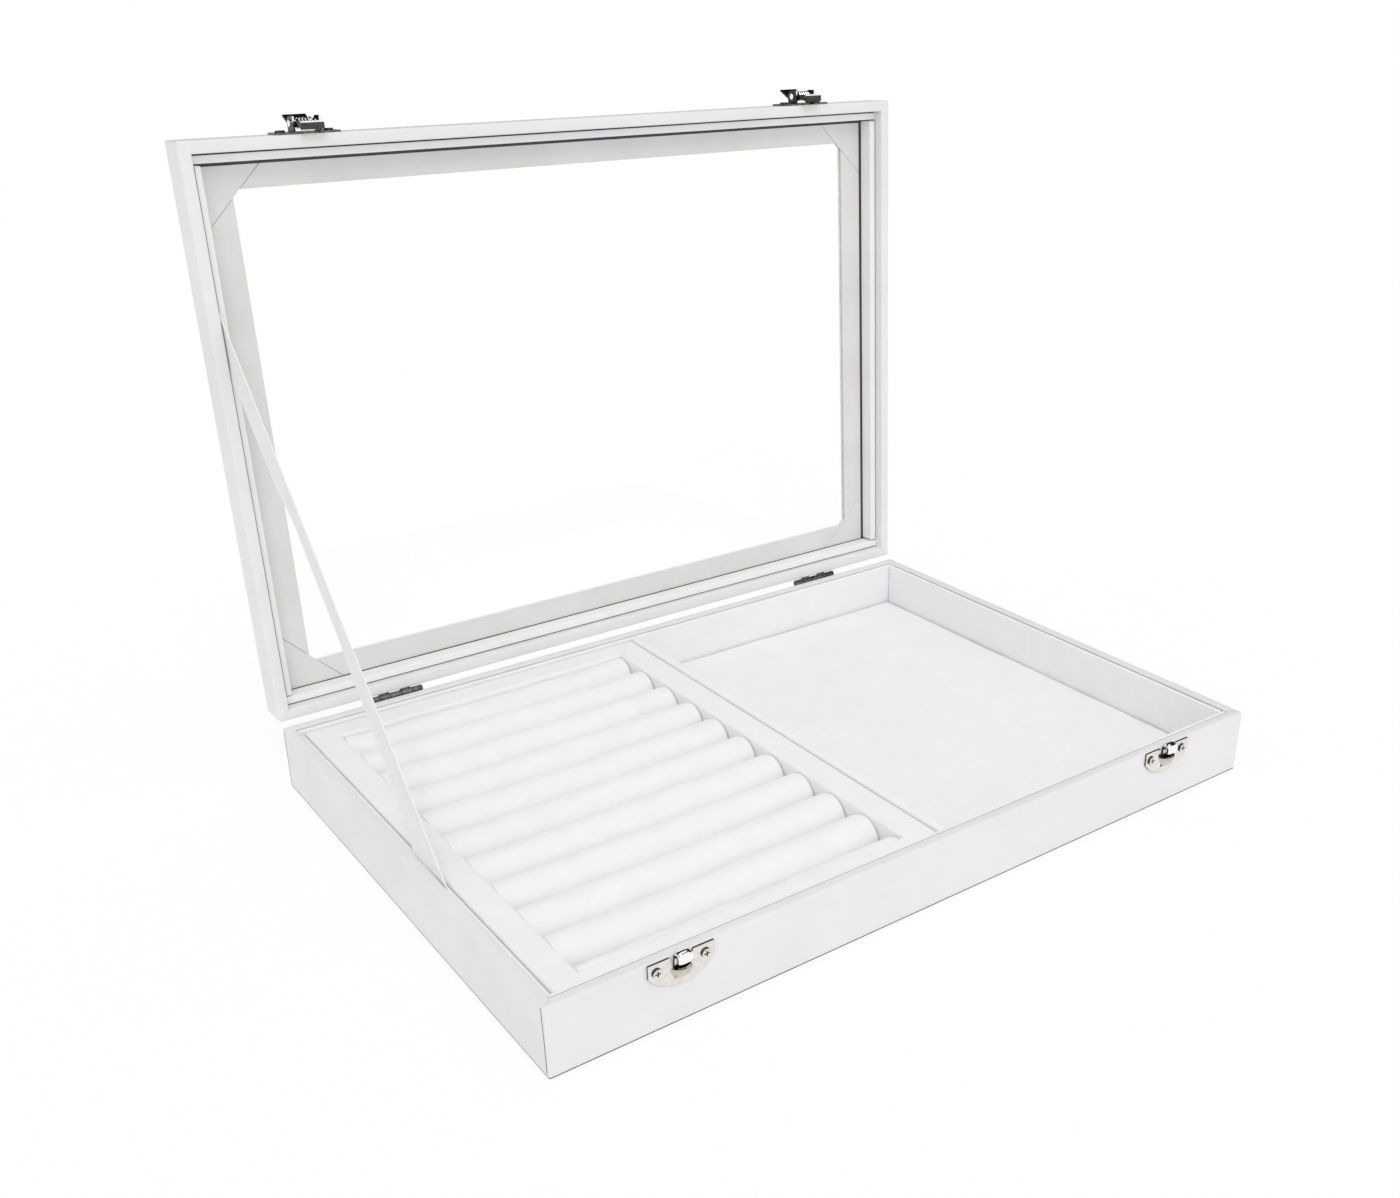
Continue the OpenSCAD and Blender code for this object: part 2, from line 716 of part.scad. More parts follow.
// the curled catch in [outwards, up]: a stem on the wall, curled over outwards and down
module catch_outline() {
  mid = (catch_o0 + catch_o1)/2;
  turn_z = catch_top - catch_r;
  difference() {
    union() {
      translate([catch_o0, catch_low + catch_lip_r])
        square([catch_o1 - catch_o0, turn_z - catch_low - catch_lip_r]);
      translate([mid, turn_z]) circle(r = catch_r, $fn = 32);
      translate([catch_o1 - catch_lip_r, catch_low + catch_lip_r]) circle(r = catch_lip_r, $fn = 32);
    }
    translate([catch_o0 + sheet_t, catch_low - 1])
      square([catch_o1 - catch_o0 - 2*sheet_t, turn_z - catch_low + 1]);
    translate([mid, turn_z]) circle(r = catch_r - sheet_t, $fn = 32);
  }
}

// lower half of a spherical bulge that stands out of the plate below the notch
module scoop(x, shrink) {
  half = scoop_w/2;
  r = (half*half + scoop_out*scoop_out)/(2*scoop_out);
  translate([x, -yo, scoop_top]) intersection() {
    translate([0, r - scoop_out, 0]) sphere(r = r - shrink, $fn = 64);
    translate([-half, -scoop_out - 1, -half]) cube([2*half, scoop_out + 1, half]);
  }
}

module strike(x) {
  color("silver") {
    difference() {
      union() {
        difference() {
          front_sheet(x, 0, sheet_t) strike_outline();
          front_sheet(x, -1, 2*sheet_t)
            polygon([[-notch_top_w/2, sp_top + 1], [notch_top_w/2, sp_top + 1],
                     [notch_low_w/2, notch_z], [-notch_low_w/2, notch_z]]);
        }
        scoop(x, 0);
      }
      scoop(x, sheet_t);
      for (e = [-1, 1])
        translate([x + e*screw_at, -yo + 1, sp_screw_z]) rotate([90, 0, 0])
          cylinder(h = screw_len, r = screw_hole_r, $fn = 24);
    }
    front_profile(x, catch_w) {
      catch_outline();
      translate([0, catch_root_z]) square([catch_o0 + sheet_t, catch_low - catch_root_z + catch_lip_r + eps]);
    }
  }
}

// stay ribbon

ribbon_base_y = -yo + ribbon_base_at;
ribbon_lid_y = -yo + ribbon_lid_at;
ribbon_x = -in_x + pocket_gap + ribbon_t/2;
ribbon_lid_x = -lin_x + pocket_gap + ribbon_t/2;

// a point of the closed lid, moved to where the open lid holds it
function opened(p) =
  let (dy = p[1] - hinge_y, dz = p[2] - parting, c = cos(lid_open), s = sin(lid_open))
    [p[0], hinge_y + dy*c + dz*s, parting - dy*s + dz*c];

// ends of the free length, q from -1 at the front edge of the ribbon to 1 at its back edge
function ribbon_low(q, inside) = [ribbon_x, ribbon_base_y + q*ribbon_base_w/2, liner_top - inside];
function ribbon_high(q, inside) =
  opened([ribbon_lid_x, ribbon_lid_y + q*ribbon_lid_w/2, lid_liner_z + inside]);

// point of the ribbon's middle surface in row k: rows 0 and ribbon_rows lie inside the two gaps
function ribbon_point(k, q) =
  let (t = min(1, max(0, (k - 1)/ribbon_steps)),
       bump = pow(max(0, sin(180*t)), ribbon_ease),
       in_a = k == 0 ? ribbon_in : 0,
       in_b = k == ribbon_rows ? ribbon_in_lid : 0,
       a = ribbon_low(0, in_a),
       b = ribbon_high(0, in_b),
       half = (ribbon_low(q, in_a) - a)*(1 - t) + (ribbon_high(q, in_b) - b)*t)
    a + (b - a)*t + half*(1 - ribbon_narrow*bump) + [ribbon_cup*bump*(1 - q*q), 0, 0];

function ribbon_normal(k, q) =
  let (d = 1/ribbon_cross)
    unit(cross(ribbon_point(min(k + 1, ribbon_rows), q) - ribbon_point(max(k - 1, 0), q),
               ribbon_point(k, min(1, q + d)) - ribbon_point(k, max(-1, q - d))));

module stay_ribbon() {
  m = ribbon_cross;
  n = ribbon_rows;
  side = [for (f = [-1, 1]) for (k = [0 : n]) for (j = [0 : m])
            let (q = 2*j/m - 1) ribbon_point(k, q) + ribbon_normal(k, q)*f*ribbon_t/2];
  w = m + 1;
  lift = (n + 1)*w;
  low = [for (k = [0 : n - 1]) for (j = [0 : m - 1]) for (h = [0, 1])
           h == 0 ? [k*w + j, (k + 1)*w + j, k*w + j + 1] : [k*w + j + 1, (k + 1)*w + j, (k + 1)*w + j + 1]];
  high = [for (f = low) [f[0] + lift, f[2] + lift, f[1] + lift]];
  long0 = [for (k = [0 : n - 1]) for (h = [0, 1])
             h == 0 ? [k*w, k*w + lift, (k + 1)*w] : [(k + 1)*w, k*w + lift, (k + 1)*w + lift]];
  long1 = [for (k = [0 : n - 1]) for (h = [0, 1])
             h == 0 ? [k*w + m, (k + 1)*w + m, k*w + m + lift]
                    : [(k + 1)*w + m, (k + 1)*w + m + lift, k*w + m + lift]];
  end0 = [for (j = [0 : m - 1]) for (h = [0, 1])
            h == 0 ? [j, j + 1, j + lift] : [j + 1, j + 1 + lift, j + lift]];
  end1 = [for (j = [0 : m - 1]) for (h = [0, 1])
            h == 0 ? [n*w + j, n*w + j + lift, n*w + j + 1]
                   : [n*w + j + 1, n*w + j + lift, n*w + j + 1 + lift]];
  color("ghostwhite")
    polyhedron(points = side, faces = concat(low, high, long0, long1, end0, end1), convexity = 6);
}

base_frame();
base_bottom();
liner_front();
liner_back();
liner_left();
liner_right();
partition();
compartment_pad();
tray_base();
tray_border();
ring_roll(1);  // ring_roll_01
ring_roll(2);  // ring_roll_02
ring_roll(3);  // ring_roll_03
ring_roll(4);  // ring_roll_04
ring_roll(5);  // ring_roll_05
ring_roll(6);  // ring_roll_06
ring_roll(7);  // ring_roll_07
ring_roll(8);  // ring_roll_08
ring_roll(9);  // ring_roll_09
ring_roll(10);  // ring_roll_10
ring_roll(11);  // ring_roll_11
lid_frame();
glass_pane();
glass_strip_end(-1);  // glass_strip_front
glass_strip_end(1);  // glass_strip_back
glass_strip_side(-1);  // glass_strip_left
glass_strip_side(1);  // glass_strip_right
glass_corners();
lid_liner_end(-1);  // lid_liner_front
lid_liner_end(1);  // lid_liner_back
lid_liner_side(-1);  // lid_liner_left
lid_liner_side(1);  // lid_liner_right
hinge_base_leaf(-hinge_at);  // hinge_base_leaf_left
hinge_base_leaf(hinge_at);  // hinge_base_leaf_right
hinge_lid_leaf(-hinge_at);  // hinge_lid_leaf_left
hinge_lid_leaf(hinge_at);  // hinge_lid_leaf_right
hinge_pin(-hinge_at);  // hinge_pin_left
hinge_pin(hinge_at);  // hinge_pin_right
latch_plate(-latch_at);  // latch_plate_left
latch_plate(latch_at);  // latch_plate_right
latch_pin(-latch_at);  // latch_pin_left
latch_pin(latch_at);  // latch_pin_right
latch_spring(-latch_at);  // latch_spring_left
latch_spring(latch_at);  // latch_spring_right
latch_lever(-latch_at);  // latch_lever_left
latch_lever(latch_at);  // latch_lever_right
latch_screws();
strike(-latch_at);  // strike_left
strike(latch_at);  // strike_right
strike_screws();
stay_ribbon();
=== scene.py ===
import json
import math

import bmesh
import bpy
import numpy as np
from mathutils import Matrix, Vector, noise

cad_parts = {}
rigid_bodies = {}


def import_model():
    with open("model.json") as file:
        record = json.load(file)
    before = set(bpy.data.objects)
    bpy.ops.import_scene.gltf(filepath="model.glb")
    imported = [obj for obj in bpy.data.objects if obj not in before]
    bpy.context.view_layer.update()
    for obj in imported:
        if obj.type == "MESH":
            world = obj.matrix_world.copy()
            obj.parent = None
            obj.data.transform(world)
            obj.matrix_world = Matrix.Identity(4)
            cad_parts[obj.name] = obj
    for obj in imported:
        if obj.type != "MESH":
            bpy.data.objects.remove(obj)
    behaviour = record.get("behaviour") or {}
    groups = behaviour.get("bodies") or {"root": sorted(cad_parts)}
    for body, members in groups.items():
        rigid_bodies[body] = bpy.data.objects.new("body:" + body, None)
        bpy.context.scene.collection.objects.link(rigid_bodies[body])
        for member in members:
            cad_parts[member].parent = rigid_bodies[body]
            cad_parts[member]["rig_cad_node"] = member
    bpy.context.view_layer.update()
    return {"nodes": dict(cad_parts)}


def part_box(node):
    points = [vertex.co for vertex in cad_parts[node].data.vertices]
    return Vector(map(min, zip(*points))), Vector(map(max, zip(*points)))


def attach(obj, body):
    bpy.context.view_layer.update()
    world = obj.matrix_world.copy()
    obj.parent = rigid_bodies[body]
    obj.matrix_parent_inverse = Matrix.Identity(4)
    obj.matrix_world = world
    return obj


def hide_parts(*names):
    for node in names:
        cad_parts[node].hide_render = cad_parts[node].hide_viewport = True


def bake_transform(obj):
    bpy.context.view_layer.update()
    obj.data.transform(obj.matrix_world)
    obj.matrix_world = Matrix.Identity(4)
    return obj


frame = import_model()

MM = 0.001
WHITE = (1, 1, 1, 1)
nodes = frame["nodes"]

# sizes in mm: width, depth, height of the base, height of the lid
W, D, H, T = 350.0, 240.0, 28.5, 16.5
XO, YO = W / 2, D / 2
HINGE_Y = YO + 1.76
OPEN = math.radians(92.7)
BASE_WALL, LID_WALL = 4.5, 5.0


def opened(p):
    """A point of the closed lid, in mm, where the open lid holds it."""
    dy, dz = p[1] - HINGE_Y, p[2] - H
    c, s = math.cos(OPEN), math.sin(OPEN)
    return (p[0], HINGE_Y + dy * c + dz * s, H - dy * s + dz * c)


def closed(p):
    """The point of the closed lid, in mm, that the open lid holds at p."""
    dy, dz = p[1] - HINGE_Y, p[2] - H
    c, s = math.cos(OPEN), math.sin(OPEN)
    return (p[0], HINGE_Y + dy * c - dz * s, H + dy * s + dz * c)


def node_box(name):
    """The low and the high corner of a node's box, in mm."""
    lo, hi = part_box(name)
    return [v / MM for v in lo], [v / MM for v in hi]


for o in list(bpy.data.objects):
    if o.name in ("Cube", "Camera", "Light") and "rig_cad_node" not in o:
        bpy.data.objects.remove(o)


# materials
class Mat:
    """A node material with a few short cuts."""

    def __init__(self, name):
        self.m = bpy.data.materials.new(name)
        self.m.use_nodes = True
        self.t = self.m.node_tree
        self.t.nodes.clear()
        self.out = self.t.nodes.new("ShaderNodeOutputMaterial")
        self.b = self.t.nodes.new("ShaderNodeBsdfPrincipled")
        self.link(self.b.outputs[0], self.out.inputs[0])
        self.co = self.t.nodes.new("ShaderNodeTexCoord").outputs["Object"]

    def link(self, a, b):
        self.t.links.new(a, b)

    def node(self, kind, **values):
        n = self.t.nodes.new(kind)
        for k, v in values.items():
            if hasattr(n, k) and k not in n.inputs:
                setattr(n, k, v)
            else:
                n.inputs[k].default_value = v
        return n

    def mapped(self, scale):
        n = self.node("ShaderNodeMapping")
        n.inputs["Scale"].default_value = scale
        self.link(self.co, n.inputs["Vector"])
        return n.outputs[0]

    def noise(self, scale, detail=2.0, rough=0.5, vec=None, distortion=0.0):
        n = self.node("ShaderNodeTexNoise")
        n.inputs["Scale"].default_value = scale
        n.inputs["Detail"].default_value = detail
        n.inputs["Roughness"].default_value = rough
        n.inputs["Distortion"].default_value = distortion
        self.link(vec or self.co, n.inputs["Vector"])
        return n.outputs[0]

    def voronoi(self, scale):
        n = self.t.nodes.new("ShaderNodeTexVoronoi")
        n.feature = "SMOOTH_F1"
        n.inputs["Scale"].default_value = scale
        self.link(self.co, n.inputs["Vector"])
        return n.outputs["Distance"]

    def remap(self, value, lo, hi, a=0.0, b=1.0):
        n = self.t.nodes.new("ShaderNodeMapRange")
        n.inputs["From Min"].default_value = a
        n.inputs["From Max"].default_value = b
        n.inputs["To Min"].default_value = lo
        n.inputs["To Max"].default_value = hi
        self.link(value, n.inputs["Value"])
        return n.outputs[0]

    def mix(self, fac, c1, c2):
        n = self.t.nodes.new("ShaderNodeMix")
        n.data_type = "RGBA"
        self.link(fac, n.inputs[0])
        for sock, c in ((n.inputs[6], c1), (n.inputs[7], c2)):
            sock.default_value = (*c, 1)
        return n.outputs[2]

    def math(self, op, a, b):
        n = self.t.nodes.new("ShaderNodeMath")
        n.operation = op
        for sock, v in ((n.inputs[0], a), (n.inputs[1], b)):
            if isinstance(v, bpy.types.NodeSocket):
                self.link(v, sock)
            else:
                sock.default_value = v
        return n.outputs[0]

    def bump(self, height, strength, distance, below=None):
        n = self.t.nodes.new("ShaderNodeBump")
        n.inputs["Strength"].default_value = strength
        n.inputs["Distance"].default_value = distance
        self.link(height, n.inputs["Height"])
        if below:
            self.link(below, n.inputs["Normal"])
        return n.outputs[0]

    def set(self, **values):
        for k, v in values.items():
            s = self.b.inputs[k.replace("_", " ")]
            if isinstance(v, bpy.types.NodeSocket):
                self.link(v, s)
            else:
                s.default_value = v
        return self


def leatherette(name, c1, c2, rough=(0.42, 0.56)):
    m = Mat(name)
    cloud = m.noise(38, 3, 0.55)
    pebble = m.voronoi(1350)
    fine = m.noise(4200, 2)
    grain = m.math("ADD", m.math("MULTIPLY", pebble, 0.8), m.math("MULTIPLY", fine, 0.25))
    wave = m.bump(m.noise(55, 2), 0.22, 0.0007)
    m.set(
        Base_Color=m.mix(m.remap(cloud, 0, 1, 0.3, 0.7), c1, c2),
        Roughness=m.remap(pebble, rough[0], rough[1], 0.1, 0.9),
        Normal=m.bump(grain, 0.28, 0.00012, wave),
    )
    m.b.inputs["Specular IOR Level"].default_value = 0.42
    return m.m


def velvet(name, c1, c2):
    m = Mat(name)
    nap = m.noise(70, 3, 0.6, distortion=0.4)
    streak = m.noise(1.0, 3, 0.6, vec=m.mapped((160, 480, 480)))
    pile = m.noise(5200, 2, 0.7)
    shade = m.math("ADD", m.math("MULTIPLY", nap, 0.7), m.math("MULTIPLY", streak, 0.3))
    m.set(
        Base_Color=m.mix(m.remap(shade, 0, 1, 0.32, 0.68), c1, c2),
        Roughness=m.remap(pile, 0.78, 0.96, 0.2, 0.8),
        Normal=m.bump(pile, 0.35, 0.00022, m.bump(nap, 0.18, 0.0006)),
    )
    m.b.inputs["Sheen Weight"].default_value = 0.35
    m.b.inputs["Sheen Roughness"].default_value = 0.45
    m.b.inputs["Sheen Tint"].default_value = WHITE
    m.b.inputs["Specular IOR Level"].default_value = 0.15
    return m.m


def satin(name, c1, c2):
    m = Mat(name)
    threads = m.noise(1.0, 2, 0.5, vec=m.mapped((500, 2400, 2400)))
    soft = m.noise(90, 2)
    m.set(
        Base_Color=m.mix(m.remap(soft, 0, 1, 0.3, 0.7), c1, c2),
        Roughness=m.remap(threads, 0.3, 0.46, 0.2, 0.8),
        Normal=m.bump(threads, 0.3, 0.00012),
    )
    m.b.inputs["Sheen Weight"].default_value = 0.2
    m.b.inputs["Sheen Roughness"].default_value = 0.3
    m.b.inputs["Specular IOR Level"].default_value = 0.6
    return m.m


def metal(name, c1, c2, rough):
    m = Mat(name)
    cloud = m.noise(420, 3, 0.6)
    brushed = m.noise(1.0, 2, 0.5, vec=m.mapped((900, 220, 900)))
    m.set(
        Base_Color=m.mix(m.remap(cloud, 0, 1, 0.35, 0.65), c1, c2),
        Metallic=1.0,
        Roughness=m.remap(brushed, rough[0], rough[1], 0.25, 0.75),
        Normal=m.bump(m.math("ADD", brushed, m.math("MULTIPLY", cloud, 0.6)), 0.07, 0.00006),
    )
    return m.m


def board(name, c1, c2):
    m = Mat(name)
    fibre = m.noise(900, 4, 0.7)
    m.set(
        Base_Color=m.mix(m.remap(fibre, 0, 1, 0.3, 0.7), c1, c2),
        Roughness=m.remap(fibre, 0.7, 0.9, 0.3, 0.7),
        Normal=m.bump(fibre, 0.2, 0.0001),
    )
    return m.m


def clear_glass(name):
    m = Mat(name)
    m.b.inputs["Base Color"].default_value = WHITE
    m.b.inputs["Transmission Weight"].default_value = 1.0
    m.b.inputs["IOR"].default_value = 1.3
    smear = m.noise(26, 3, 0.6)
    m.link(m.remap(smear, 0.0, 0.012, 0.35, 0.75), m.b.inputs["Roughness"])
    lp = m.node("ShaderNodeLightPath")
    tr = m.node("ShaderNodeBsdfTransparent")
    mixer = m.node("ShaderNodeMixShader")
    m.link(lp.outputs["Is Shadow Ray"], mixer.inputs[0])
    m.link(m.b.outputs[0], mixer.inputs[1])
    m.link(tr.outputs[0], mixer.inputs[2])
    m.link(mixer.outputs[0], m.out.inputs[0])
    return m.m


M_WRAP = leatherette("wrap_white", (0.79, 0.79, 0.792), (0.835, 0.835, 0.837))
M_LINER = leatherette("lid_liner_white", (0.87, 0.87, 0.88), (0.91, 0.91, 0.92), (0.5, 0.65))
M_STRIP = leatherette("strip_grey", (0.72, 0.713, 0.70), (0.78, 0.773, 0.76), (0.45, 0.6))
# near-black painted shade for the gaps beside the liners and lid boards, the wrap's corner seams and lower
# edge, and the strips beside the lid boards, where shadow falls
M_PAINTED_SHADE = board("board_core", (0.05, 0.05, 0.055), (0.09, 0.09, 0.095))
# a lighter satin for the ribbon's thicker woven edge, its extra lightness a painted highlight
M_SELVEDGE_HIGHLIGHT = board("selvedge_white", (0.90, 0.90, 0.91), (0.93, 0.93, 0.94))
M_VELVET = velvet("velvet_white", (0.885, 0.885, 0.90), (0.925, 0.925, 0.94))
M_SATIN = satin("satin_white", (0.77, 0.775, 0.78), (0.82, 0.825, 0.83))
# the fittings' nickel in lit and shaded copies: M_NICKEL is the plain metal, M_BRIGHT a painted highlight,
# M_EDGE, M_HINGE and M_DARK painted shade and painted dark reflection, M_TAN painted shade
M_NICKEL = metal("nickel", (0.75, 0.71, 0.66), (0.84, 0.80, 0.75), (0.10, 0.22))
M_BRIGHT = metal("nickel_polished", (0.92, 0.91, 0.89), (0.96, 0.95, 0.94), (0.05, 0.12))
M_EDGE = metal("nickel_edge", (0.10, 0.095, 0.085), (0.20, 0.19, 0.175), (0.2, 0.34))
M_TAN = metal("nickel_shaded", (0.56, 0.51, 0.45), (0.68, 0.63, 0.57), (0.14, 0.26))
M_HINGE = metal("nickel_dull", (0.11, 0.105, 0.10), (0.24, 0.23, 0.215), (0.2, 0.34))
M_DARK = metal("dark_steel", (0.05, 0.05, 0.048), (0.09, 0.09, 0.085), (0.25, 0.4))
M_BOARD = board("board_grey", (0.62, 0.62, 0.61), (0.70, 0.70, 0.69))
M_GLASS = clear_glass("glass_clear")
M_CARD = board("card_black", (0.012, 0.012, 0.012), (0.016, 0.016, 0.016))


# mesh helpers
def finish_mesh(me, *materials):
    """Gives the mesh its materials; faces that are marked for a later one keep their mark."""
    marks = [p.material_index for p in me.polygons]
    me.materials.clear()
    for m in materials:
        me.materials.append(m)
    if len(materials) > 1:
        me.polygons.foreach_set("material_index", marks)
    me.polygons.foreach_set("use_smooth", [True] * len(me.polygons))
    me.update()


def add_object(name, me, body, replaced=()):
    o = bpy.data.objects.new(name, me)
    bpy.context.scene.collection.objects.link(o)
    if body:
        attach(o, body)
    if replaced:
        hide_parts(*replaced)
    return o


def mesh_from(name, verts_mm, faces, lid=False, marked=()):
    pts = [opened(v) for v in verts_mm] if lid else verts_mm
    me = bpy.data.meshes.new(name)
    me.from_pydata([[c * MM for c in p] for p in pts], [], faces)
    bm = bmesh.new()
    bm.from_mesh(me)
    bm.faces.ensure_lookup_table()
    for i in marked:
        bm.faces[i].material_index = 1
    bmesh.ops.remove_doubles(bm, verts=bm.verts, dist=2e-6)
    bmesh.ops.recalc_face_normals(bm, faces=bm.faces)
    bm.to_mesh(me)
    bm.free()
    return me


def wobble(p, scale, seed=0.0):
    """Smooth noise from -1 to 1 at a point in mm."""
    return noise.noise(Vector((p[0] / scale + seed, p[1] / scale - seed, p[2] / scale + 2 * seed)))


def dressed(node, name, width, segs, materials, body, angle=28, paint=None, cuts=(), shape=None):
    """The CAD piece with its edges broken, as a piece of the scene. paint(centre, normal), in mm, gives a
    face's material, cuts are planes (point, normal) that divide faces first, shape(p) moves points."""
    bm = bmesh.new()
    bm.from_mesh(nodes[node].data)
    bmesh.ops.remove_doubles(bm, verts=bm.verts, dist=3e-6)
    bmesh.ops.dissolve_limit(bm, angle_limit=math.radians(0.6), verts=bm.verts, edges=bm.edges)
    for point, normal in cuts:
        geom = bm.verts[:] + bm.edges[:] + bm.faces[:]
        bmesh.ops.bisect_plane(bm, geom=geom, plane_co=Vector(point) * MM, plane_no=normal)
    if paint:
        for f in bm.faces:
            f.material_index = paint(f.calc_center_median() / MM, f.normal)
    if shape:
        for v in bm.verts:
            v.co = Vector(shape(v.co / MM)) * MM
    me = bpy.data.meshes.new(name)
    bm.to_mesh(me)
    bm.free()
    finish_mesh(me, *materials)
    o = add_object(name, me, body, [node])
    mod = o.modifiers.new("edges", "BEVEL")
    mod.width = width * MM
    mod.segments = segs
    mod.limit_method = "ANGLE"
    mod.angle_limit = math.radians(angle)
    mod.use_clamp_overlap = True
    mod.harden_normals = False
    wn = o.modifiers.new("normals", "WEIGHTED_NORMAL")
    wn.keep_sharp = True
    return o


def axis_steps(lo, hi, r, step):
    """Positions along one side of a rounded box: dense on the roundings, spaced between them."""
    arc = [r * (1 - math.tan(math.radians(a))) for a in (45, 34, 22.5, 11)]
    n = max(1, int(round((hi - lo - 2 * r) / step)))
    mid = [lo + r + (hi - lo - 2 * r) * i / n for i in range(n + 1)]
    return [lo + a for a in arc] + mid + [hi - a for a in reversed(arc)]


def rounded_box(lo, hi, r, step, push=None):
    """Vertices and faces of a box with rounded edges and a regular grid; push(p, n) moves a point out."""
    ax = [axis_steps(lo[i], hi[i], r, step) for i in range(3)]
    verts, faces, sides, seen = [], [], [], {}

    def vert(p):
        key = tuple(round(c, 4) for c in p)
        if key not in seen:
            c = [min(max(p[i], lo[i] + r), hi[i] - r) for i in range(3)]
            n = Vector([p[i] - c[i] for i in range(3)])
            n.normalize()
            q = Vector(c) + n * r
            if push:
                q = q + n * push(q, n)
            seen[key] = len(verts)
            verts.append(tuple(q))
        return seen[key]

    for k in range(3):
        a, b = (k + 1) % 3, (k + 2) % 3
        for side, flip in ((lo[k], True), (hi[k], False)):
            for i in range(len(ax[a]) - 1):
                for j in range(len(ax[b]) - 1):
                    quad = []
                    for u, v in ((i, j), (i + 1, j), (i + 1, j + 1), (i, j + 1)):
                        p = [0, 0, 0]
                        p[k], p[a], p[b] = side, ax[a][u], ax[b][v]
                        quad.append(vert(p))
                    if len(set(quad)) > 2:
                        faces.append(quad[::-1] if flip else quad)
                        sides.append((k, -1 if flip else 1))
    return verts, faces, sides


def soft_board(name, node, r, step, material, body, amp=0.12, lid=False, box=None, shaded_sides=()):
    """A covered board in a node's place; shaded_sides are its sides painted near-black as painted shade for
    the gap beside them, as (axis, -1 or 1).
    """
    lo, hi = box or node_box(node)

    def push(p, n):
        return amp * (wobble(p, 26, 3.1) + 0.5 * wobble(p, 9, 7.7)) - amp

    v, f, sides = rounded_box(lo, hi, r, step, push)
    me = mesh_from(name, v, f, lid, [i for i, side in enumerate(sides) if side in shaded_sides])
    finish_mesh(me, material, M_PAINTED_SHADE)
    return add_object(name, me, body, [node])


# steps round a corner, and in mm where the seams lie beyond it, how far they lean away towards the rim,
# and where the even steps along the side start
ARC = 4
SEAM_AT = (0.3, 0.55, 0.8)
SEAM_LEAN = 1.1
RUN_IN = 2.4


def corner_run(a, before, after, radius, chamfer):
    """Points round a corner at a: before and after are the directions of the two sides."""
    pts = []
    for j in range(ARC + 1):
        f = j / ARC
        if chamfer:
            u, v = chamfer * (1 - f), chamfer * f
        else:
            ang = math.radians(90 * f)
            u, v = radius * (1 - math.sin(ang)), radius * (1 - math.cos(ang))
        pts.append((a[0] - before[0] * u + after[0] * v, a[1] - before[1] * u + after[1] * v))
    return pts


def frame_ring(rect, widths, profile, radius=0.9, fold=0.0, seam=0.0, step=9.0, wave=0.0):
    """A closed ring round a rectangle, as vertices, faces and the faces for the near-black painted shade
    (corner seams, "raw").
    rect: (x0, y0, x1, y1); widths: left, front, right, back; profile: closed list of
    (share, offset, z, chamfer, kind): a point lies share*width + offset inside its side, and kind is
    "wall" on an outer wall, where the wrap's seams run beside the corners, "top" and "under" where the
    wrap is folded at the corners, "raw" where the faces take painted shade."""
    x0, y0, x1, y1 = rect
    wl, wf, wr, wb = widths
    rings = []
    seam_cols = set()
    for share, off, z, chamfer, kind in profile:
        ax0, ay0 = x0 + share * wl + off, y0 + share * wf + off
        ax1, ay1 = x1 - share * wr - off, y1 - share * wb - off
        corners = [(ax0, ay0), (ax1, ay0), (ax1, ay1), (ax0, ay1)]
        rad = 0 if share else max(0.0, radius - off)
        cut = max(chamfer, rad)
        ring = []
        for s in range(4):
            a, b, prev = corners[s], corners[(s + 1) % 4], corners[s - 1]
            ln, lp = math.dist(a, b), math.dist(a, prev)
            d = ((b[0] - a[0]) / ln, (b[1] - a[1]) / ln)
            dp = ((a[0] - prev[0]) / lp, (a[1] - prev[1]) / lp)
            inward = (-d[1], d[0])
            for j, q in enumerate(corner_run(a, dp, d, rad, chamfer)):
                drop = {"top": fold, "under": -fold}.get(kind, 0) if j == ARC // 2 else 0
                ring.append((q[0], q[1], z - drop))
            n = max(2, int(round((W if s % 2 == 0 else D) / step)))
            lean = SEAM_LEAN * min(1.0, max(0.0, z / H)) ** 2
            ends = [cut + e + lean for e in SEAM_AT]
            run = [cut + RUN_IN + (ln - 2 * cut - 2 * RUN_IN) * i / n for i in range(n + 1)]
            run = ends + run + [ln - e for e in reversed(ends)]
            for i, t in enumerate(run):
                deep = 0
                if s % 2 == 1 and i in (1, len(run) - 2) and kind == "wall":
                    deep = seam
                    seam_cols.add(len(ring) - 1)
                    seam_cols.add(len(ring))
                x, y = a[0] + d[0] * t + inward[0] * deep, a[1] + d[1] * t + inward[1] * deep
                ring.append((x, y, z + wave * wobble((x, y, z), 30, 1.3)))
        rings.append(ring)
    n, m = len(rings[0]), len(rings)
    verts = [p for ring in rings for p in ring]
    faces, seams = [], []
    for k in range(m):
        k2 = (k + 1) % m
        kinds = {profile[k][4], profile[k2][4]}
        wall = seam and kinds == {"wall"}
        for i in range(n):
            i2 = (i + 1) % n
            if kinds == {"raw"} or wall and i in seam_cols:
                seams.append(len(faces))
            faces.append((k * n + i, k * n + i2, k2 * n + i2, k2 * n + i))
    return verts, faces, seams


def arc_points(cx, cz, r, a0, a1, n):
    """Offsets and heights on an arc, degrees from +offset towards +z."""
    return [
        (cx + r * math.cos(math.radians(a0 + (a1 - a0) * i / n)),
         cz + r * math.sin(math.radians(a0 + (a1 - a0) * i / n)))
        for i in range(n + 1)
    ]


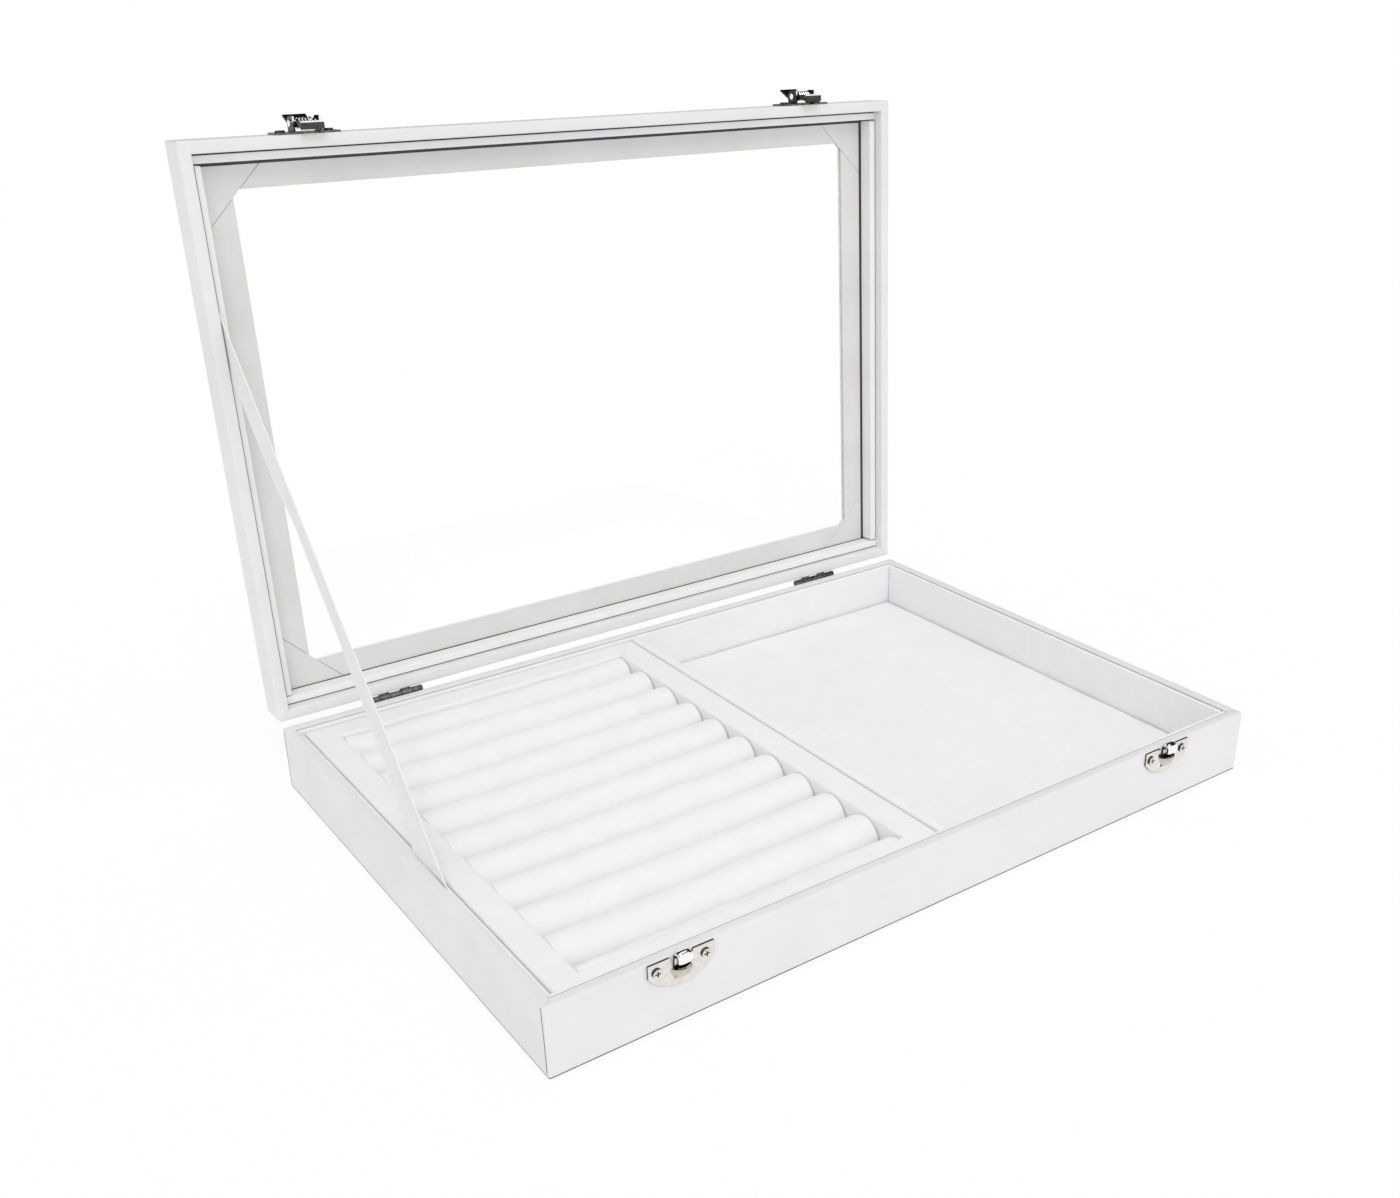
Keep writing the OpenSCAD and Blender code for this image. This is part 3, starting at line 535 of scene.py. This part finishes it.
# the wraps of base and lid
def build_base_wrap():
    """Walls and rim of the base in one closed ring, with near-black painted shade in its corner seams and
    along its lower edge, for the seams' shade and the contact shadow.
    """
    r, inner, foot = 0.9, 0.7, 0.3
    prof = [(0, o, z, 0, "raw") for o, z in arc_points(foot, foot, foot, 180, 270, 2)[::-1]]
    prof.append((0, 0.0, 0.6, 0, "raw"))
    prof.append((0, 0.0, 0.61, 0, ""))
    prof += [(0, 0.0, z, 0, "wall") for z in (1.4, 6.0, 12.0, 18.0, 23.0, H - r - 0.1)]
    prof += [(0, o, z, 0, "top") for o, z in arc_points(r, H - r, r, 180, 90, 4)]
    prof.append((0, BASE_WALL / 2, H + 0.02, 0, "top"))
    prof += [(0, o, z, 0, "top") for o, z in arc_points(BASE_WALL - inner, H - inner, inner, 90, 0, 3)]
    prof += [(0, BASE_WALL, z, 0, "") for z in (H - 2.2, 1.5, 0.0)]
    v, f, seams = frame_ring((-XO, -YO, XO, YO), (BASE_WALL,) * 4, prof, fold=0.12, seam=0.22)
    v = [lifted_rim(*p) for p in v]
    me = mesh_from("base_wrap", v, f, False, seams)
    finish_mesh(me, M_WRAP, M_PAINTED_SHADE)
    add_object("base_wrap", me, "base", ["base_frame"])


def lifted_rim(x, y, z):
    """The rim's wrap bulges a little where the ribbon is tucked in beside it."""
    middle, half = -22.0, 15.0
    if z > H - 2.5 and x < -XO + BASE_WALL + 0.2 and abs(y - middle) < half:
        bump = math.cos((y - middle) / half * math.pi / 2) ** 2
        share = max(0.0, (x + XO - 1.4) / (BASE_WALL - 1.4))
        return (x + 0.25 * bump * share, y, z + 0.04 * bump * share)
    return (x, y, z)


def build_lid_wrap():
    """Walls and top flange of the lid in one closed ring, drawn closed."""
    r, low_r, inner = 1.0, 0.8, 0.6
    top = H + T
    low = H + 0.1
    flange = top - 1.9
    side, end, cut = 21.0, 19.0, 3.0
    prof = [(0, o, z, 0, "under") for o, z in arc_points(low_r, low + low_r, low_r, 270, 180, 3)]
    prof += [(0, 0.0, z, 0, "wall") for z in (low + low_r + 0.1, H + 5, H + 10, top - r - 0.1)]
    prof += [(0, o, z, 0, "top") for o, z in arc_points(r, top - r, r, 180, 90, 4)]
    prof += [(share, 0.0, top, 0, "top") for share in (0.33, 0.66)]
    prof += [(1, o, z, cut, "") for o, z in arc_points(-0.6, top - 0.6, 0.6, 90, 0, 3)]
    prof.append((1, 0.0, flange, cut, ""))
    prof += [(0, LID_WALL, z, 0, "") for z in (flange, low + 2.2)]
    prof += [(0, o, z, 0, "under") for o, z in arc_points(LID_WALL - inner, low + inner, inner, 0, -90, 3)]
    v, f, _ = frame_ring((-XO, -YO, XO, YO), (side, end, side, end), prof, fold=0.12)
    me = mesh_from("lid_wrap", v, f, True)
    finish_mesh(me, M_WRAP)
    add_object("lid_wrap", me, "lid", ["lid_frame"])


# velvet rolls, tray border and floor pad
TRAY_TOP = H - 1.5
ROLL_R = 10.0
ROLL_SHRINK = 0.7
PINNED_H = 5
CLOTH_FRAMES = 20


def roll_profile(i, lo, hi):
    """Section of roll i in (y, z): a slightly flattened crown on straight sides, cut off at the border."""
    yc = lo[1] + ROLL_R + 0.25 if i > 1 else hi[1] - ROLL_R - 0.25
    zc = TRAY_TOP - ROLL_R
    r = ROLL_R - ROLL_SHRINK
    crown = []
    for k in range(25):
        a = math.radians(180 - 7.5 * k)
        crown.append((yc + r * math.cos(a), zc + r * math.sin(a)))
    if i == 1:
        crown = [q for q in crown if q[0] > lo[1] + 0.5]
        crown = [(lo[1] + 0.3, crown[0][1] - 1.0)] + crown
    if i == 11:
        crown = [q for q in crown if q[0] < hi[1] - 0.5]
        crown = crown + [(hi[1] - 0.3, crown[-1][1] - 1.0)]
    z0 = lo[2] + 0.1
    left = [(crown[0][0], z0 + (crown[0][1] - z0) * f) for f in (0, 0.34, 0.67)]
    right = [(crown[-1][0], z0 + (crown[-1][1] - z0) * f) for f in (0.67, 0.34, 0)]
    return left + crown + right, yc, zc


def build_roll(i):
    """Roll i of the tray. Returns the object, its pinned vertices and its box."""
    lo, hi = node_box(f"ring_roll_{i:02d}")
    sec, yc, zc = roll_profile(i, lo, hi)
    length, n = hi[0] - lo[0], 56
    bend = [0.3, 0.9, 1.8]
    xs = [lo[0] + 0.05] + [lo[0] + e for e in bend]
    xs += [lo[0] + 3 + (length - 6) * k / n for k in range(n + 1)]
    xs += [hi[0] - e for e in reversed(bend)] + [hi[0] - 0.05]
    m = len(sec)
    verts, faces = [], []
    for x in xs:
        edge = min(x - lo[0], hi[0] - x)
        tuck = 0.6 * math.exp(-edge / 0.8)
        for y, z in sec:
            up = max(0.0, (z - zc) / ROLL_R)
            out = (y - yc) / ROLL_R
            d = 0.30 * wobble((x, y, z), 17, i * 3.7) + 0.14 * wobble((x, y, z), 7, i * 1.9)
            verts.append((x, y - out * tuck, z + (d - tuck) * up))
    for a in range(len(xs) - 1):
        for b in range(m):
            b2 = (b + 1) % m
            faces.append((a * m + b, a * m + b2, (a + 1) * m + b2, (a + 1) * m + b))
    ends = (0, (len(xs) - 1) * m)
    mid = m // 2
    for start, flip in zip(ends, (True, False)):
        for b in range(mid - 1 if m % 2 == 0 else mid):
            q = (start + b, start + b + 1, start + m - 2 - b, start + m - 1 - b)
            q = tuple(dict.fromkeys(q))
            if len(q) > 2:
                faces.append(q[::-1] if flip else q)
    me = mesh_from(f"velvet_roll_{i:02d}", verts, faces)
    finish_mesh(me, M_VELVET)
    o = add_object(f"velvet_roll_{i:02d}", me, "ring_tray", [f"ring_roll_{i:02d}"])
    pinned = [k for k, v in enumerate(me.vertices) if v.co.z < (lo[2] + PINNED_H) * MM]
    return o, pinned, (lo, hi)


def inflate(pieces, pressure, cap):
    """Lets the covers swell under a little air pressure, then keeps the result within each piece's space.
    pieces: (object, pinned vertices, (low, high))"""
    scene = bpy.context.scene
    for o, pinned, _ in pieces:
        group = o.vertex_groups.new(name="pin")
        group.add(pinned, 1.0, "REPLACE")
        cloth = o.modifiers.new("cloth", "CLOTH")
        st = cloth.settings
        st.quality = 4
        st.mass = 0.25
        st.tension_stiffness = 12
        st.compression_stiffness = 12
        st.shear_stiffness = 4
        st.bending_stiffness = 0.15
        st.use_pressure = True
        st.uniform_pressure_force = pressure
        st.vertex_group_mass = "pin"
        st.effector_weights.gravity = 0
        cloth.collision_settings.use_collision = False
        cloth.point_cache.frame_start = 1
        cloth.point_cache.frame_end = CLOTH_FRAMES
    for f in range(1, CLOTH_FRAMES + 1):
        scene.frame_set(f)
    graph = bpy.context.evaluated_depsgraph_get()
    for o, pinned, (lo, hi) in pieces:
        made = o.evaluated_get(graph).data
        for v, w in zip(o.data.vertices, made.vertices):
            move = w.co - v.co
            if move.length > cap * MM:
                move = move.normalized() * cap * MM
            p = v.co + move
            for k in range(3):
                p[k] = min(max(p[k], (lo[k] + 0.04) * MM), (hi[k] + (0.3 if k == 2 else -0.04)) * MM)
            v.co = p
        o.modifiers.remove(o.modifiers["cloth"])
        o.vertex_groups.clear()
        o.data.update()
        sub = o.modifiers.new("smooth", "SUBSURF")
        sub.levels = sub.render_levels = 1
    scene.frame_set(1)


def build_tray_border():
    """The padded border round the rolls, wider at the left, right and back than at the front."""
    lo, hi = node_box("tray_border")
    r = 1.0
    z0 = lo[2] + 0.02
    prof = [(0, 0.0, z, 0, "") for z in (z0, 12.0, 20.0)]
    prof += [(0, o, z, 0, "top") for o, z in arc_points(r, TRAY_TOP - r, r, 180, 90, 4)]
    prof += [(share, 0.0, TRAY_TOP, 0, "top") for share in (0.25, 0.5, 0.75)]
    prof += [(1, o, z, 0, "top") for o, z in arc_points(-r, TRAY_TOP - r, r, 90, 0, 4)]
    prof += [(1, 0.0, z, 0, "") for z in (16.0, z0)]
    left, front, right, back = 12.0, 5.2, 13.0, 12.0
    v, f, _ = frame_ring(
        (lo[0], lo[1], hi[0], hi[1]), (left, front, right, back), prof, radius=1.0, fold=0.5, wave=0.1,
    )
    v = [(x, y, min(z, TRAY_TOP + 0.05)) for x, y, z in v]
    me = mesh_from("tray_border_velvet", v, f)
    finish_mesh(me, M_VELVET)
    o = add_object("tray_border_velvet", me, "ring_tray", ["tray_border"])


# the stay ribbon
RIBBON_W = 19.0
RIBBON_T = 0.3


def eased(t, stops):
    """Value at t of a smooth run through (place, value) stops."""
    for (t0, c0), (t1, c1) in zip(stops, stops[1:]):
        if t <= t1:
            f = max(0.0, (t - t0) / (t1 - t0))
            f = f * f * (3 - 2 * f)
            return c0 + (c1 - c0) * f
    return stops[-1][1]


def cup_depth(chord, length):
    """Depth of an arc of that length over that chord."""
    chord = min(chord, 0.998 * length)
    lo, hi = 0.01, 3.0
    for _ in range(40):
        mid = (lo + hi) / 2
        if math.sin(mid) / mid > chord / length:
            lo = mid
        else:
            hi = mid
    return chord / 2 / math.sin(lo) * (1 - math.cos(lo))


def ribbon_skin(rows):
    """Vertices and faces round a ribbon's middle rows, thicker at the selvedge, and the selvedge's faces."""
    n, m = len(rows), len(rows[0]) - 1
    w = m + 1
    grid = np.array([[list(p) for p in row] for row in rows])
    nor = np.cross(np.gradient(grid, axis=0), np.gradient(grid, axis=1))
    nor /= np.linalg.norm(nor, axis=2, keepdims=True) + 1e-9
    edge = np.array([1.5 if j in (0, 1, m - 1, m) else 1.0 for j in range(w)])[None, :, None]
    front, back = grid + nor * edge * RIBBON_T / 2, grid - nor * edge * RIBBON_T / 2
    verts = [tuple(p) for p in front.reshape(-1, 3)] + [tuple(p) for p in back.reshape(-1, 3)]
    off = n * w
    faces, selvedge = [], []
    for k in range(n - 1):
        for j in range(m):
            a = k * w + j
            if j in (0, m - 1):
                selvedge += [len(faces), len(faces) + 1]
            faces.append((a, a + 1, a + w + 1, a + w))
            faces.append((off + a, off + a + w, off + a + w + 1, off + a + 1))
        for j, flip in ((0, False), (m, True)):
            a, b = k * w + j, (k + 1) * w + j
            q = (a, b, b + off, a + off)
            selvedge.append(len(faces))
            faces.append(q[::-1] if flip else q)
    for k in (0, n - 1):
        for j in range(m):
            a = k * w + j
            faces.append((a, a + off, a + 1 + off, a + 1))
    return verts, faces, selvedge


def build_ribbon():
    """The taut stay ribbon, tucked in at both ends, slightly turned and cupped between them."""
    xa, xb = -XO + BASE_WALL + 0.55, -XO + LID_WALL + 0.55
    za, zb = H - 0.5, H + 4.5
    base_y, base_half = -YO + 95.3, 13.1
    lid_y, lid_half = -YO + 73.6, 11.1
    base_step, lid_step = 1.6, 1.4
    steps, m, tuck = 100, 24, 5
    twist = [
        (0, -0.4), (0.18, 1.4), (0.30, 1.6), (0.42, 2.1), (0.64, 2.2), (0.76, 0.6), (0.88, 0.3), (1, 0.0),
    ]
    flat_ends = [(0, 0.0), (0.10, 1.0), (0.86, 1.0), (1, 0.0)]
    deepest = 0.55
    rows = []
    for k in range(-tuck, steps + tuck + 1):
        t = min(1.0, max(0.0, k / steps))
        down = -base_step * max(0, -k)
        up = lid_step * max(0, k - steps)
        ends = []
        for e in (-1, 1):
            a = Vector((xa, base_y + e * base_half, za + down))
            b = Vector(opened((xb, lid_y + e * lid_half, zb + up)))
            ends.append(a.lerp(b, t))
        front, back = ends
        along = (Vector(opened((xb, lid_y, zb))) - Vector((xa, base_y, za))).normalized()
        chord = (back - front).cross(along).length
        cup = min(deepest, cup_depth(chord, RIBBON_W)) * eased(t, flat_ends)
        row = []
        for j in range(m + 1):
            q = 2 * j / m - 1
            p = front.lerp(back, (q + 1) / 2)
            inward = eased(t, twist) * (q + 1) / 2 + cup * (1 - q * q)
            inward += 0.12 * math.sin(math.pi * t) * wobble((t * 230, q * 9, 0), 20, 4.2)
            row.append(p + Vector((inward, 0, 0)))
        rows.append(row)
    verts, faces, selvedge = ribbon_skin(rows)
    me = mesh_from("ribbon_satin", verts, faces, False, selvedge)
    # the selvedge faces take the lighter satin: the woven edge with a painted highlight
    finish_mesh(me, M_SATIN, M_SELVEDGE_HIGHLIGHT)
    o = add_object("ribbon_satin", me, None, ["stay_ribbon"])
    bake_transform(o)


# the pieces
GAP = 0.35

build_base_wrap()
build_lid_wrap()

for n, k, side in (("front", 1, -1), ("back", 1, 1), ("left", 0, -1), ("right", 0, 1)):
    lo, hi = node_box(f"liner_{n}")
    if side < 0:
        lo[k] += GAP
    else:
        hi[k] -= GAP
    if n == "left":
        hi[2] -= 1.5
    # the board's side towards the wall takes the near-black painted shade, for the shadow in the gap
    soft_board(
        f"velvet_liner_{n}", f"liner_{n}", 0.8, 7, M_VELVET, "base", box=(lo, hi), shaded_sides=[(k, side)],
    )
soft_board("velvet_partition", "partition", 1.3, 7, M_VELVET, "base")
pad = soft_board("velvet_floor_pad", "compartment_pad", 1.2, 7, M_VELVET, "floor_pad", amp=0.2)
build_tray_border()
rolls = [build_roll(i) for i in range(1, 12)]
inflate(rolls, 4.0, 1.4)

# the lid's boards in the closed lid: name, axis, side, low corner, high corner
LID_BOARDS = (
    ("front", 1, -1, (-170, -115, 33), (170, -111.2, 41.1)),
    ("back", 1, 1, (-170, 111.2, 33), (170, 115, 41.1)),
    ("left", 0, -1, (-170, -110.6, 33), (-166.2, 110.6, 41.1)),
    ("right", 0, 1, (166.2, -110.6, 33), (170, 110.6, 41.1)),
)
for n, k, side, lo, hi in LID_BOARDS:
    lo, hi = list(lo), list(hi)
    gap = {"left": 1.1, "front": 0.5}.get(n, GAP)
    if side < 0:
        lo[k] += gap
    else:
        hi[k] -= gap
    hi[2] -= 0.35
    # the board's side towards the lid's wall and its side over the strips take the near-black painted shade,
    # for the shadow in these gaps
    soft_board(
        f"lid_board_{n}", f"lid_liner_{n}", 0.6, 8, M_LINER, "lid", 0.05, True,
        (lo, hi), [(k, side), (2, 1)],
    )

build_ribbon()

# the strips that hold the glass, with a band of near-black painted shade beside the boards of the lid, where
# the boards' shadow falls
# SHADE_FROM: for each (axis, side) the distance from the middle, in mm, where the painted shade starts
SHADE_FROM = {(1, -1): 109.7, (1, 1): 111.1, (0, -1): 165.9, (0, 1): 165.3}


def strip_shade_paint(centre, normal):
    """1, the near-black painted shade, for a strip's faces that lie beyond where the shade starts, else 0.
    """
    p = closed(centre)
    return int(any(side * p[k] > at for (k, side), at in SHADE_FROM.items()))


def shade_line_cuts():
    """The planes that divide the strips where the painted shade starts."""
    for (k, side), at in SHADE_FROM.items():
        p, q = [0, 0, 41], [0, 0, 41]
        p[k], q[k] = side * at, side * at + 1
        a, b = Vector(opened(p)), Vector(opened(q))
        yield a, b - a


for n in ("strip_front", "strip_back", "strip_left", "strip_right", "corners"):
    dressed(
        f"glass_{n}", f"glass_{n}_wrapped", 0.15, 2, [M_STRIP, M_PAINTED_SHADE], "lid",
        paint=strip_shade_paint, cuts=list(shade_line_cuts()),
    )

# fittings, in metal tones that follow the direction of each face: painted highlights, painted shade and
# painted dark reflections
FITTING = [M_NICKEL, M_EDGE, M_BRIGHT, M_DARK, M_TAN]
NICKEL, EDGE, BRIGHT, DARK, TAN = range(5)
LATCH_AT, PLATE_T, SCREW_HEAD = 123.5, 0.8, 0.69
CATCH_HALF, CATCH_LOW, CATCH_TOP, CATCH_OUT = 3.0, 25.4, 30.4, 3.9
SCOOP_HALF, SCOOP_TOP = 5.1, 23.6
TAB_Z, BRIGHT_OUT = H + 8.0, 4.2


def strike_paint(centre, normal):
    """The strike with painted highlight and shade: bright catch with dark sides and a dark hollow under it,
    a tan-shaded scoop below with a bright top, dark faces that look up, nickel in front and dark edges.
    """
    u, out = abs(centre[0]) - LATCH_AT, -YO - centre[1]
    if abs(u) <= CATCH_HALF + 0.05 and centre[2] > CATCH_LOW - 0.1 and normal[1] < 0.9:
        inner = out < CATCH_OUT - 0.4 and centre[2] < CATCH_TOP - 0.5
        return DARK if inner or abs(normal[0]) > 0.5 else BRIGHT
    if abs(u) < SCOOP_HALF and centre[2] < SCOOP_TOP + 0.1 and out > PLATE_T + 0.05:
        return BRIGHT if normal[2] > 0.9 else DARK if normal[1] > 0 else TAN
    if normal[2] > 0.7:
        return DARK
    return NICKEL if normal[1] < -0.5 else EDGE


def catch_shape(p):
    """Rounds the corners of the curled catch."""
    u, out = abs(p[0]) - LATCH_AT, -YO - p[1]
    if abs(u) > CATCH_HALF + 0.01 or p[2] < CATCH_LOW - 0.2 or out < 0.2:
        return p
    f = abs(u / CATCH_HALF) ** 4
    up = (p[2] - CATCH_LOW) / (CATCH_TOP - CATCH_LOW)
    return (p[0], p[1] + 0.25 * f * (out > 2), p[2] - 1.5 * f * up * up + 0.7 * f * (1 - up) * (out > 2))


def latch_paint(centre, normal):
    """The latch plate and its bracket, with painted highlight and shade: bright bracket with dark cheeks and
    a dark hollow, on a nickel plate with dark edges.
    """
    p = closed(centre)
    out = -YO - p[1]
    facing = Vector(closed(centre + normal)) - Vector(p)
    if out > PLATE_T + 0.1:
        return DARK if abs(normal[0]) > 0.5 or facing[2] < -0.5 and out < BRIGHT_OUT else BRIGHT
    return NICKEL if facing[1] < -0.5 else EDGE


def lever_paint(centre, normal):
    """The lever, with painted shade and highlight: dark cheeks, hollow and finger tab, bright elsewhere."""
    p = closed(centre)
    facing = Vector(closed(centre + normal)) - Vector(p)
    hollow = facing[2] < -0.5 and -YO - p[1] < BRIGHT_OUT
    return DARK if abs(normal[0]) > 0.5 or hollow or p[2] > TAB_Z else BRIGHT


def screw_paint(lid):
    """Nickel on top of the screws' heads, painted shade in the slots and round the rim."""
    def paint(centre, normal):
        p = closed(centre) if lid else centre
        return NICKEL if -YO - p[1] > PLATE_T + SCREW_HEAD else DARK

    return paint


tone_point = Vector(opened((0, -YO - BRIGHT_OUT, H)))
tone_cuts = [(tone_point, Vector(opened((0, -YO - BRIGHT_OUT - 1, H))) - tone_point)]
catch_cuts = [((s * LATCH_AT + CATCH_HALF * k / 5, 0, 0), (1, 0, 0)) for s in (-1, 1) for k in range(-4, 5)]

for s in ("left", "right"):
    # the hinge leaves in nickel darkened as painted shade and painted dark reflection
    dressed(f"hinge_base_leaf_{s}", f"hinge_leaf_base_{s}", 0.12, 2, [M_HINGE], "base", 40)
    dressed(f"hinge_lid_leaf_{s}", f"hinge_leaf_lid_{s}", 0.12, 2, [M_HINGE], "lid", 40)
    dressed(
        f"latch_plate_{s}", f"latch_bracket_{s}", 0.15, 2, FITTING, "lid", 40,
        latch_paint, tone_cuts,
    )
    dressed(
        f"latch_lever_{s}", f"latch_finger_{s}", 0.15, 2, FITTING, f"latch_lever_{s}", 40,
        lever_paint, tone_cuts,
    )
    dressed(
        f"strike_{s}", f"strike_plate_{s}", 0.15, 2, FITTING, "base", 40, strike_paint,
        catch_cuts, catch_shape,
    )
dressed("latch_screws", "latch_screws_bright", 0.15, 2, FITTING, "lid", 40, screw_paint(True))
dressed("strike_screws", "strike_screws_bright", 0.15, 2, FITTING, "base", 40, screw_paint(False))

# kept pieces: the hinge pins in painted shade, the latch pins in a painted highlight
KEPT = {
    "base_bottom": M_WRAP, "tray_base": M_BOARD, "glass_pane": M_GLASS,
    "hinge_pin_left": M_DARK, "hinge_pin_right": M_DARK,
    "latch_pin_left": M_BRIGHT, "latch_pin_right": M_BRIGHT,
    "latch_spring_left": M_NICKEL, "latch_spring_right": M_NICKEL,
}
for n, m in KEPT.items():
    me = nodes[n].data
    me.materials.clear()
    me.materials.append(m)


# stage, light, camera
def build_stage():
    """A white floor that looks almost like the background and keeps a soft shadow."""
    glow = 0.8
    me = bpy.data.meshes.new("floor")
    half, z = 4.0, -0.0003
    corners = [(-half, -half, z), (half, -half, z), (half, half, z), (-half, half, z)]
    me.from_pydata(corners, [], [(0, 1, 2, 3)])
    m = Mat("floor_white")
    m.set(Roughness=0.9)
    m.b.inputs["Base Color"].default_value = WHITE
    m.b.inputs["Specular IOR Level"].default_value = 0.0
    em = m.node("ShaderNodeEmission")
    em.inputs["Color"].default_value = WHITE
    em.inputs["Strength"].default_value = 1.0
    lp = m.node("ShaderNodeLightPath")
    through = m.math("MAXIMUM", lp.outputs["Is Glossy Ray"], lp.outputs["Is Transmission Ray"])
    seen = m.math("MAXIMUM", lp.outputs["Is Camera Ray"], through)
    mixer = m.node("ShaderNodeMixShader")
    m.link(m.math("MULTIPLY", seen, glow), mixer.inputs[0])
    m.link(m.b.outputs[0], mixer.inputs[1])
    m.link(em.outputs[0], mixer.inputs[2])
    m.link(mixer.outputs[0], m.out.inputs[0])
    me.materials.append(m.m)
    o = bpy.data.objects.new("floor", me)
    bpy.context.scene.collection.objects.link(o)


def background(tree, strength):
    n = tree.nodes.new("ShaderNodeBackground")
    n.inputs["Color"].default_value = WHITE
    n.inputs["Strength"].default_value = strength
    return n


def build_world():
    """Even white light, a little weaker than the white that camera, gloss and glass see."""
    w = bpy.data.worlds.new("studio")
    bpy.context.scene.world = w
    w.use_nodes = True
    t = w.node_tree
    t.nodes.clear()
    out = t.nodes.new("ShaderNodeOutputWorld")
    soft = background(t, 0.80)
    white = background(t, 1.0)
    lp = t.nodes.new("ShaderNodeLightPath")
    direct = t.nodes.new("ShaderNodeMath")
    direct.operation = "MAXIMUM"
    seen = t.nodes.new("ShaderNodeMath")
    seen.operation = "MAXIMUM"
    t.links.new(lp.outputs["Is Camera Ray"], direct.inputs[0])
    t.links.new(lp.outputs["Is Glossy Ray"], direct.inputs[1])
    t.links.new(direct.outputs[0], seen.inputs[0])
    t.links.new(lp.outputs["Is Transmission Ray"], seen.inputs[1])
    mixer = t.nodes.new("ShaderNodeMixShader")
    t.links.new(seen.outputs[0], mixer.inputs[0])
    t.links.new(soft.outputs[0], mixer.inputs[1])
    t.links.new(white.outputs[0], mixer.inputs[2])
    t.links.new(mixer.outputs[0], out.inputs[0])


def sun(name, direction, strength, angle):
    """A soft lamp that shines from the given direction."""
    lamp = bpy.data.lights.new(name, "SUN")
    lamp.energy = strength
    lamp.angle = math.radians(angle)
    o = bpy.data.objects.new(name, lamp)
    o.rotation_euler = Vector(direction).to_track_quat("Z", "Y").to_euler()
    bpy.context.scene.collection.objects.link(o)


def dark_card(name, heading, height, radius=2.2):
    """A black studio card that only the gloss of the metal shows: heading from +Y towards +X and height
    above the horizon, in degrees, each as (from, to)."""
    n = 12
    verts, faces = [], []
    for i in range(n + 1):
        for j in range(n + 1):
            a = math.radians(heading[0] + (heading[1] - heading[0]) * i / n)
            e = math.radians(height[0] + (height[1] - height[0]) * j / n)
            verts.append((
                radius * math.sin(a) * math.cos(e),
                radius * math.cos(a) * math.cos(e),
                radius * math.sin(e),
            ))
    for i in range(n):
        for j in range(n):
            a = i * (n + 1) + j
            faces.append((a, a + 1, a + n + 2, a + n + 1))
    me = bpy.data.meshes.new(name)
    me.from_pydata(verts, [], faces)
    me.materials.append(M_CARD)
    o = bpy.data.objects.new(name, me)
    bpy.context.scene.collection.objects.link(o)
    o.visible_camera = False
    o.visible_diffuse = False
    o.visible_transmission = False
    o.visible_shadow = False


def build_camera():
    """The camera of the photograph, as its focal length and middle in the picture's pixels gave it."""
    wide, high, focal, centre_x, centre_y = 1400, 1198, 1443.92, 761.71, 669.29
    cam = bpy.data.cameras.new("camera")
    cam.sensor_fit = "HORIZONTAL"
    cam.sensor_width = 36.0
    cam.lens = focal / wide * cam.sensor_width
    cam.shift_x = (wide / 2 - centre_x) / wide
    cam.shift_y = (centre_y - high / 2) / wide
    cam.clip_start = 0.01
    cam.clip_end = 20
    o = bpy.data.objects.new("camera", cam)
    o.location = (-0.3345, -0.45875, 0.31934)
    turn = (
        Matrix.Rotation(math.radians(-35.914), 4, "Z")
        @ Matrix.Rotation(math.radians(90 - 25.116), 4, "X")
        @ Matrix.Rotation(math.radians(-0.29), 4, "Z")
    )
    o.rotation_euler = turn.to_euler()
    bpy.context.scene.collection.objects.link(o)
    bpy.context.scene.camera = o


build_stage()
build_world()
sun("key", (-0.25, -0.6, 0.76), 0.75, 30)
dark_card("card_back", (-70, 80), (7, 80))
dark_card("card_right", (80, 135), (14, 60))
build_camera()

view = bpy.context.scene.view_settings
view.view_transform = "Standard"
